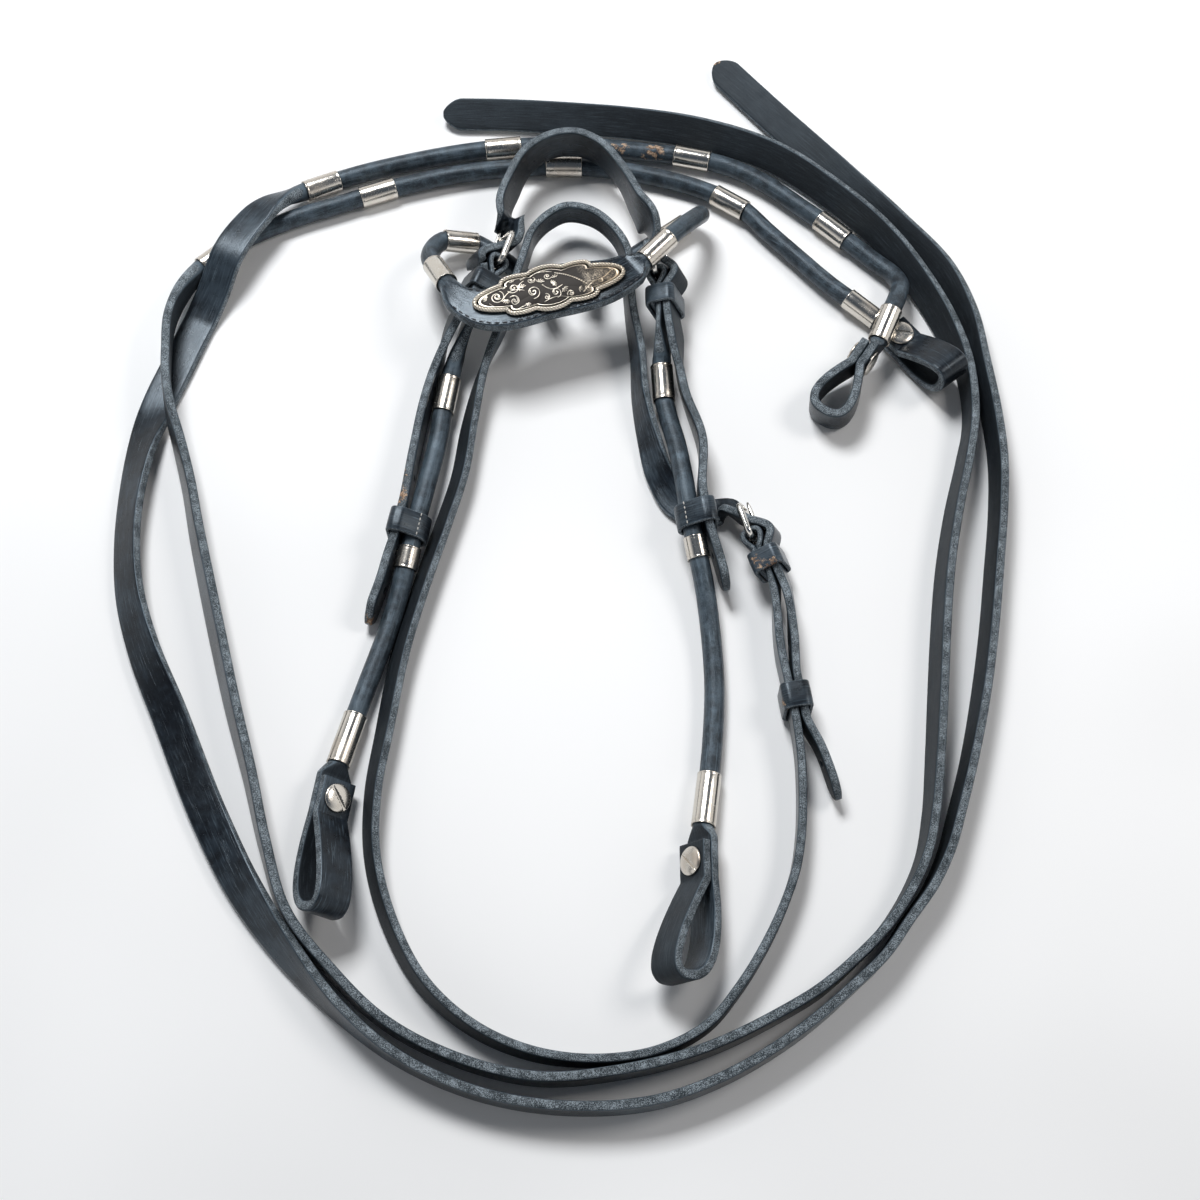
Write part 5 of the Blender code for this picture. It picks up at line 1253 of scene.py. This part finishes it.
def makePlate(frameAt):
    centre, travel, width, side = frameAt
    base = centre + (browCut["thickness"] / 2 + gap) * side
    plane, thick, relief = np.array([travel, width]), plateCut["thickness"], plateCut["relief"]
    angles = 2 * math.pi * (np.arange(plateCut["around"]) + 0.5) / plateCut["around"]
    edge = plateEdge(angles, ropeCut["width"] + 2 * gap)
    none = np.zeros(len(angles))
    # back, bevel and then rings that close on the middle: outline, height and recess of each
    rows = [(edge * 0.996, none, none), (edge, none + 0.0003, none), (edge, none + thick - 0.0002, none),
            (edge * 0.994, none + thick, none + 0.3)]
    lines = engraving()
    for share in np.linspace(0.985, 0.012, plateCut["rings"]):
        line = np.clip(1.5 - nearestTo(edge * share, lines, 60) / plateCut["ridge"], 0.0, 1.0)
        raised = np.maximum(line, np.clip((share - 0.95) / 0.02, 0.0, 1.0))
        dome = plateCut["crown"] * (1 - share ** 2) * min(1.0, (1 - share) * 12)
        rows.append((edge * share, thick + dome - relief + relief * raised, 0.9 - 0.8 * raised))
    rings = [base + flat @ plane + height[:, None] * side for flat, height, _ in rows]
    warm = np.clip((np.vstack([row[0] for row in rows])[:, 0] * 1000 - 2) / 26, 0, 1)
    attributes = {"recess": np.hstack([row[2] for row in rows]), "warm": warm}
    fit(ringMesh("engraved_plate", rings, False, silver, attributes), "browband_plate")
    makeRope(base, plane, side)
    shank, head = screwCut["shank"] / 2, plateCut["panHead"]
    rows = [(-0.0012, 0.0003), (-0.00118, 0.45 * head), (-0.001, 0.75 * head), (-0.0007, 0.94 * head),
            (-0.0003, head), (0.0, head), (0.0, shank), (browCut["thickness"] + 2 * gap + 0.6 * thick, shank)]
    for label, sign in (("left", -1), ("right", 1)):
        foot = centre + sign * plateCut["screws"] / 2 * travel - (browCut["thickness"] / 2 + gap) * side
        fit(lathe(f"plate_screw_{label}_pan", foot, side, rows, 40, screwMetal), "plate_screw_" + label)


def ropeTree():
    # one strand that winds round the path
    sizes = {"Strand": "Float", "Reach": "Float", "Twists": "Float", "Phase": "Float", "Face": "Vector",
             "Finish": "Material"}
    graph, (path, strand, reach, twists, phase, face, finish) = growTree("ropeEdge", sizes, "Rope")
    fine = graph.node("GeometryNodeResampleCurve", {}, {"Curve": path, "Count": ropeCut["steps"]})
    turn = graph.node("GeometryNodeSplineParameter", {}, {}) * twists * (2 * math.pi) + phase
    tangent = graph.node("GeometryNodeInputTangent", {}, {})
    outward = graph.vector("NORMALIZE", graph.vector("CROSS_PRODUCT", tangent, face))
    rise = graph.vector("SCALE", face, Scale=turn.math("COSINE") * reach)
    swing = graph.vector("SCALE", outward, Scale=turn.math("SINE") * reach)
    offset = graph.vector("ADD", rise, swing)
    wound = graph.node("GeometryNodeSetPosition", {}, {"Geometry": fine, "Offset": offset})
    sizes = {"Resolution": ropeCut["sides"], "Radius": strand}
    circle = graph.node("GeometryNodeCurvePrimitiveCircle", {}, sizes)
    swept = graph.node("GeometryNodeCurveToMesh", {}, {"Curve": wound, "Profile Curve": circle})
    return endTree(graph, swept, finish)


def makeRope(base, plane, side):
    thick, count = ropeCut["width"], ropeCut["strands"]
    edge = plateEdge(2 * math.pi * np.arange(480) / 480, thick / 2)
    path = base + edge @ plane + (thick / 2 + 0.0001) * side
    tree = ropeTree()
    strands = []
    for k in range(count):
        values = {"Strand": ropeCut["strand"] * thick, "Reach": ropeCut["strand"] * thick, "Finish": silver,
                  "Twists": ropeCut["twists"] / count, "Phase": k * 2 * math.pi / count, "Face": tuple(side)}
        strands.append(grow(pathObject(f"rope_strand_{k + 1}", path, cyclic=True), tree, values))
    with bpy.context.temp_override(active_object=strands[0], selected_editable_objects=strands):
        bpy.ops.object.join()
    rope = strands[0]
    points = np.empty(len(rope.data.vertices) * 3, np.float32)
    rope.data.vertices.foreach_get("co", points)
    points = points.reshape(-1, 3)
    reach = nearestTo(points, inFrame(path), 400) / thick
    warm = np.clip(((points - inFrame(base)) @ plane[0] * 1000 - 2) / 30, 0, 1) * 0.5
    mark(rope.data, {"recess": np.clip(1.0 - (reach - 0.30) / 0.11, 0, 1), "warm": warm})
    rope.name = "twisted_rope_edge"
    fit(rope, "plate_rope_edge")


def makeBrowband():
    # a rolled loop at each end, held by its ferrules, and the wide stiff band between them
    rail = Rail(routeStations(browCut["route"]))
    places = [rail.nearest(placeOf(entry)) for entry in browCut["route"]]
    long, roll = ferruleCut["long"], rollCut["diameter"]
    thick, endWidth = browCut["thickness"], browCut["endWidth"]
    middle = places[13]
    bands = {"left_lower": places[6], "left_upper": places[9] + 0.003, "right_upper": places[16],
             "right_lower": places[21]}
    shape = StrapShape()
    for s in (0.0, 0.004, rail.length - 0.004, rail.length):
        shape.add(s, 1.2 * roll, 0.55 * roll, 0.2 * roll)
    for start, end in ((0.012, places[10]), (places[16] - long / 2, rail.length - 0.012)):
        shape.roll(start).roll(end)
    shape.add(places[11] + 0.004, endWidth, thick).add(places[15] - 0.004, endWidth, thick)
    for share in np.linspace(-0.44, 0.44, 15):
        width = browCut["width"] - (browCut["width"] - endWidth) * (browCut["waist"] * share) ** 2
        shape.add(middle + share * plateCut["length"], width, thick)
    rail.hold([(place - long / 2, place + long / 2) for place in bands.values()])
    fit(loftStrap("browband_leather", rail, shape, browLeather, 0.0012), "browband")
    for name, place in bands.items():
        makeFerrule("browband_ferrule_" + name, rail, place, long)
    makePlate(rail.at(middle))
    for name, sign in (("top", 1), ("bottom", -1)):
        points = []
        for s in np.linspace(places[11] + 0.002, places[15] - 0.001, 60):
            centre, _, width, side = rail.at(s)
            wide, deep, _ = shape.at(s)
            inset, lift = stitches["inset"], stitches["lift"]
            points.append(centre + sign * (wide / 2 - inset) * width + (deep / 2 + lift) * side)
        sew(f"browband_stitches_{name}", points, "headstall")


makeBrowband()
print("browband and plate made")


studio = {
    "eye": (0.0, -0.336, 0.7546), "lens": 54.57, "floor": (0.93, 0.93, 0.93), "reach": 4.0,
    "room": (1.0, 1.0, 1.0), "ceiling": (0.07, 0.09, 0.12), "ceilingFrom": (0.35, 0.75), "sky": 0.56,
    # place, size, power and colour
    "keyLamp": ((-0.30, 0.75, 1.25), 0.5, 21.0, (0.97, 0.985, 1.0)),
    "fillLamp": ((0.9, 0.2, 1.0), 0.4, 4.5, (1.0, 0.96, 0.92)),
}


def stand(name, data, place, target):
    # a lamp or camera at its place, turned towards the target
    holder = bpy.data.objects.new(name, data)
    scene.collection.objects.link(holder)
    holder.location = place
    away = Vector(target) - Vector(holder.location)
    holder.rotation_euler = away.to_track_quat("-Z", "Y").to_euler()
    return holder


def makeFloor():
    reach, pale = studio["reach"], studio["floor"]
    mesh = bpy.data.meshes.new("floor")
    corners = [(reach * x, reach * y, 0) for x, y in ((-1, -1), (1, -1), (1, 1), (-1, 1))]
    mesh.from_pydata(corners, [], [(0, 1, 2, 3)])
    floor = bpy.data.objects.new("floor", mesh)
    scene.collection.objects.link(floor)
    paint = Paint("floorPaper")
    shade = paint.step(paint.noise(3.2, 2.0), 0.35, 0.65)
    paint.set(Base_Color=paint.mix(shade, tuple(c * 0.93 for c in pale), pale), Roughness=0.9)
    mesh.materials.append(paint.material)


def makeWorld():
    # white walls under a dull ceiling, which gives dark gloss its contrast; dimmer as a light than as a view
    scene.world = bpy.data.worlds.new("studioWorld")
    scene.world.use_nodes = True
    graph = Graph(scene.world.node_tree)
    back = graph.tree.nodes["Background"]
    seen, passed, mirrored = (graph.node("ShaderNodeLightPath", {}, {}, f"Is {kind} Ray")
                              for kind in ("Camera", "Transmission", "Glossy"))
    ray = seen.math("MAXIMUM", passed).math("MAXIMUM", mirrored)
    strength = graph.node("ShaderNodeMapRange", {}, {"Value": ray, "To Min": studio["sky"]})
    graph.feed(back.inputs["Strength"], strength)
    facing = graph.node("ShaderNodeTexCoord", {}, {}, "Generated")
    height = graph.node("ShaderNodeSeparateXYZ", {}, {0: facing}, "Z")
    low, high = studio["ceilingFrom"]
    above = graph.node("ShaderNodeMapRange", {}, {"Value": height, "From Min": low, "From Max": high})
    colour = graph.mix(above, studio["room"], studio["ceiling"])
    graph.feed(back.inputs["Color"], colour)


def makeStudio():
    makeFloor()
    for name in ("keyLamp", "fillLamp"):
        place, size, power, colour = studio[name]
        lamp = bpy.data.lights.new(name, "AREA")
        lamp.size, lamp.energy, lamp.color = size, power, colour
        stand(name, lamp, place, (0, 0, 0))
    makeWorld()
    scene.view_settings.view_transform = "Standard"
    camera = bpy.data.cameras.new("photoCamera")
    camera.lens, camera.sensor_width = studio["lens"], 36.0
    scene.camera = stand("photoCamera", camera, inFrame(studio["eye"]), layout["shift"])


makeStudio()
print("studio made")
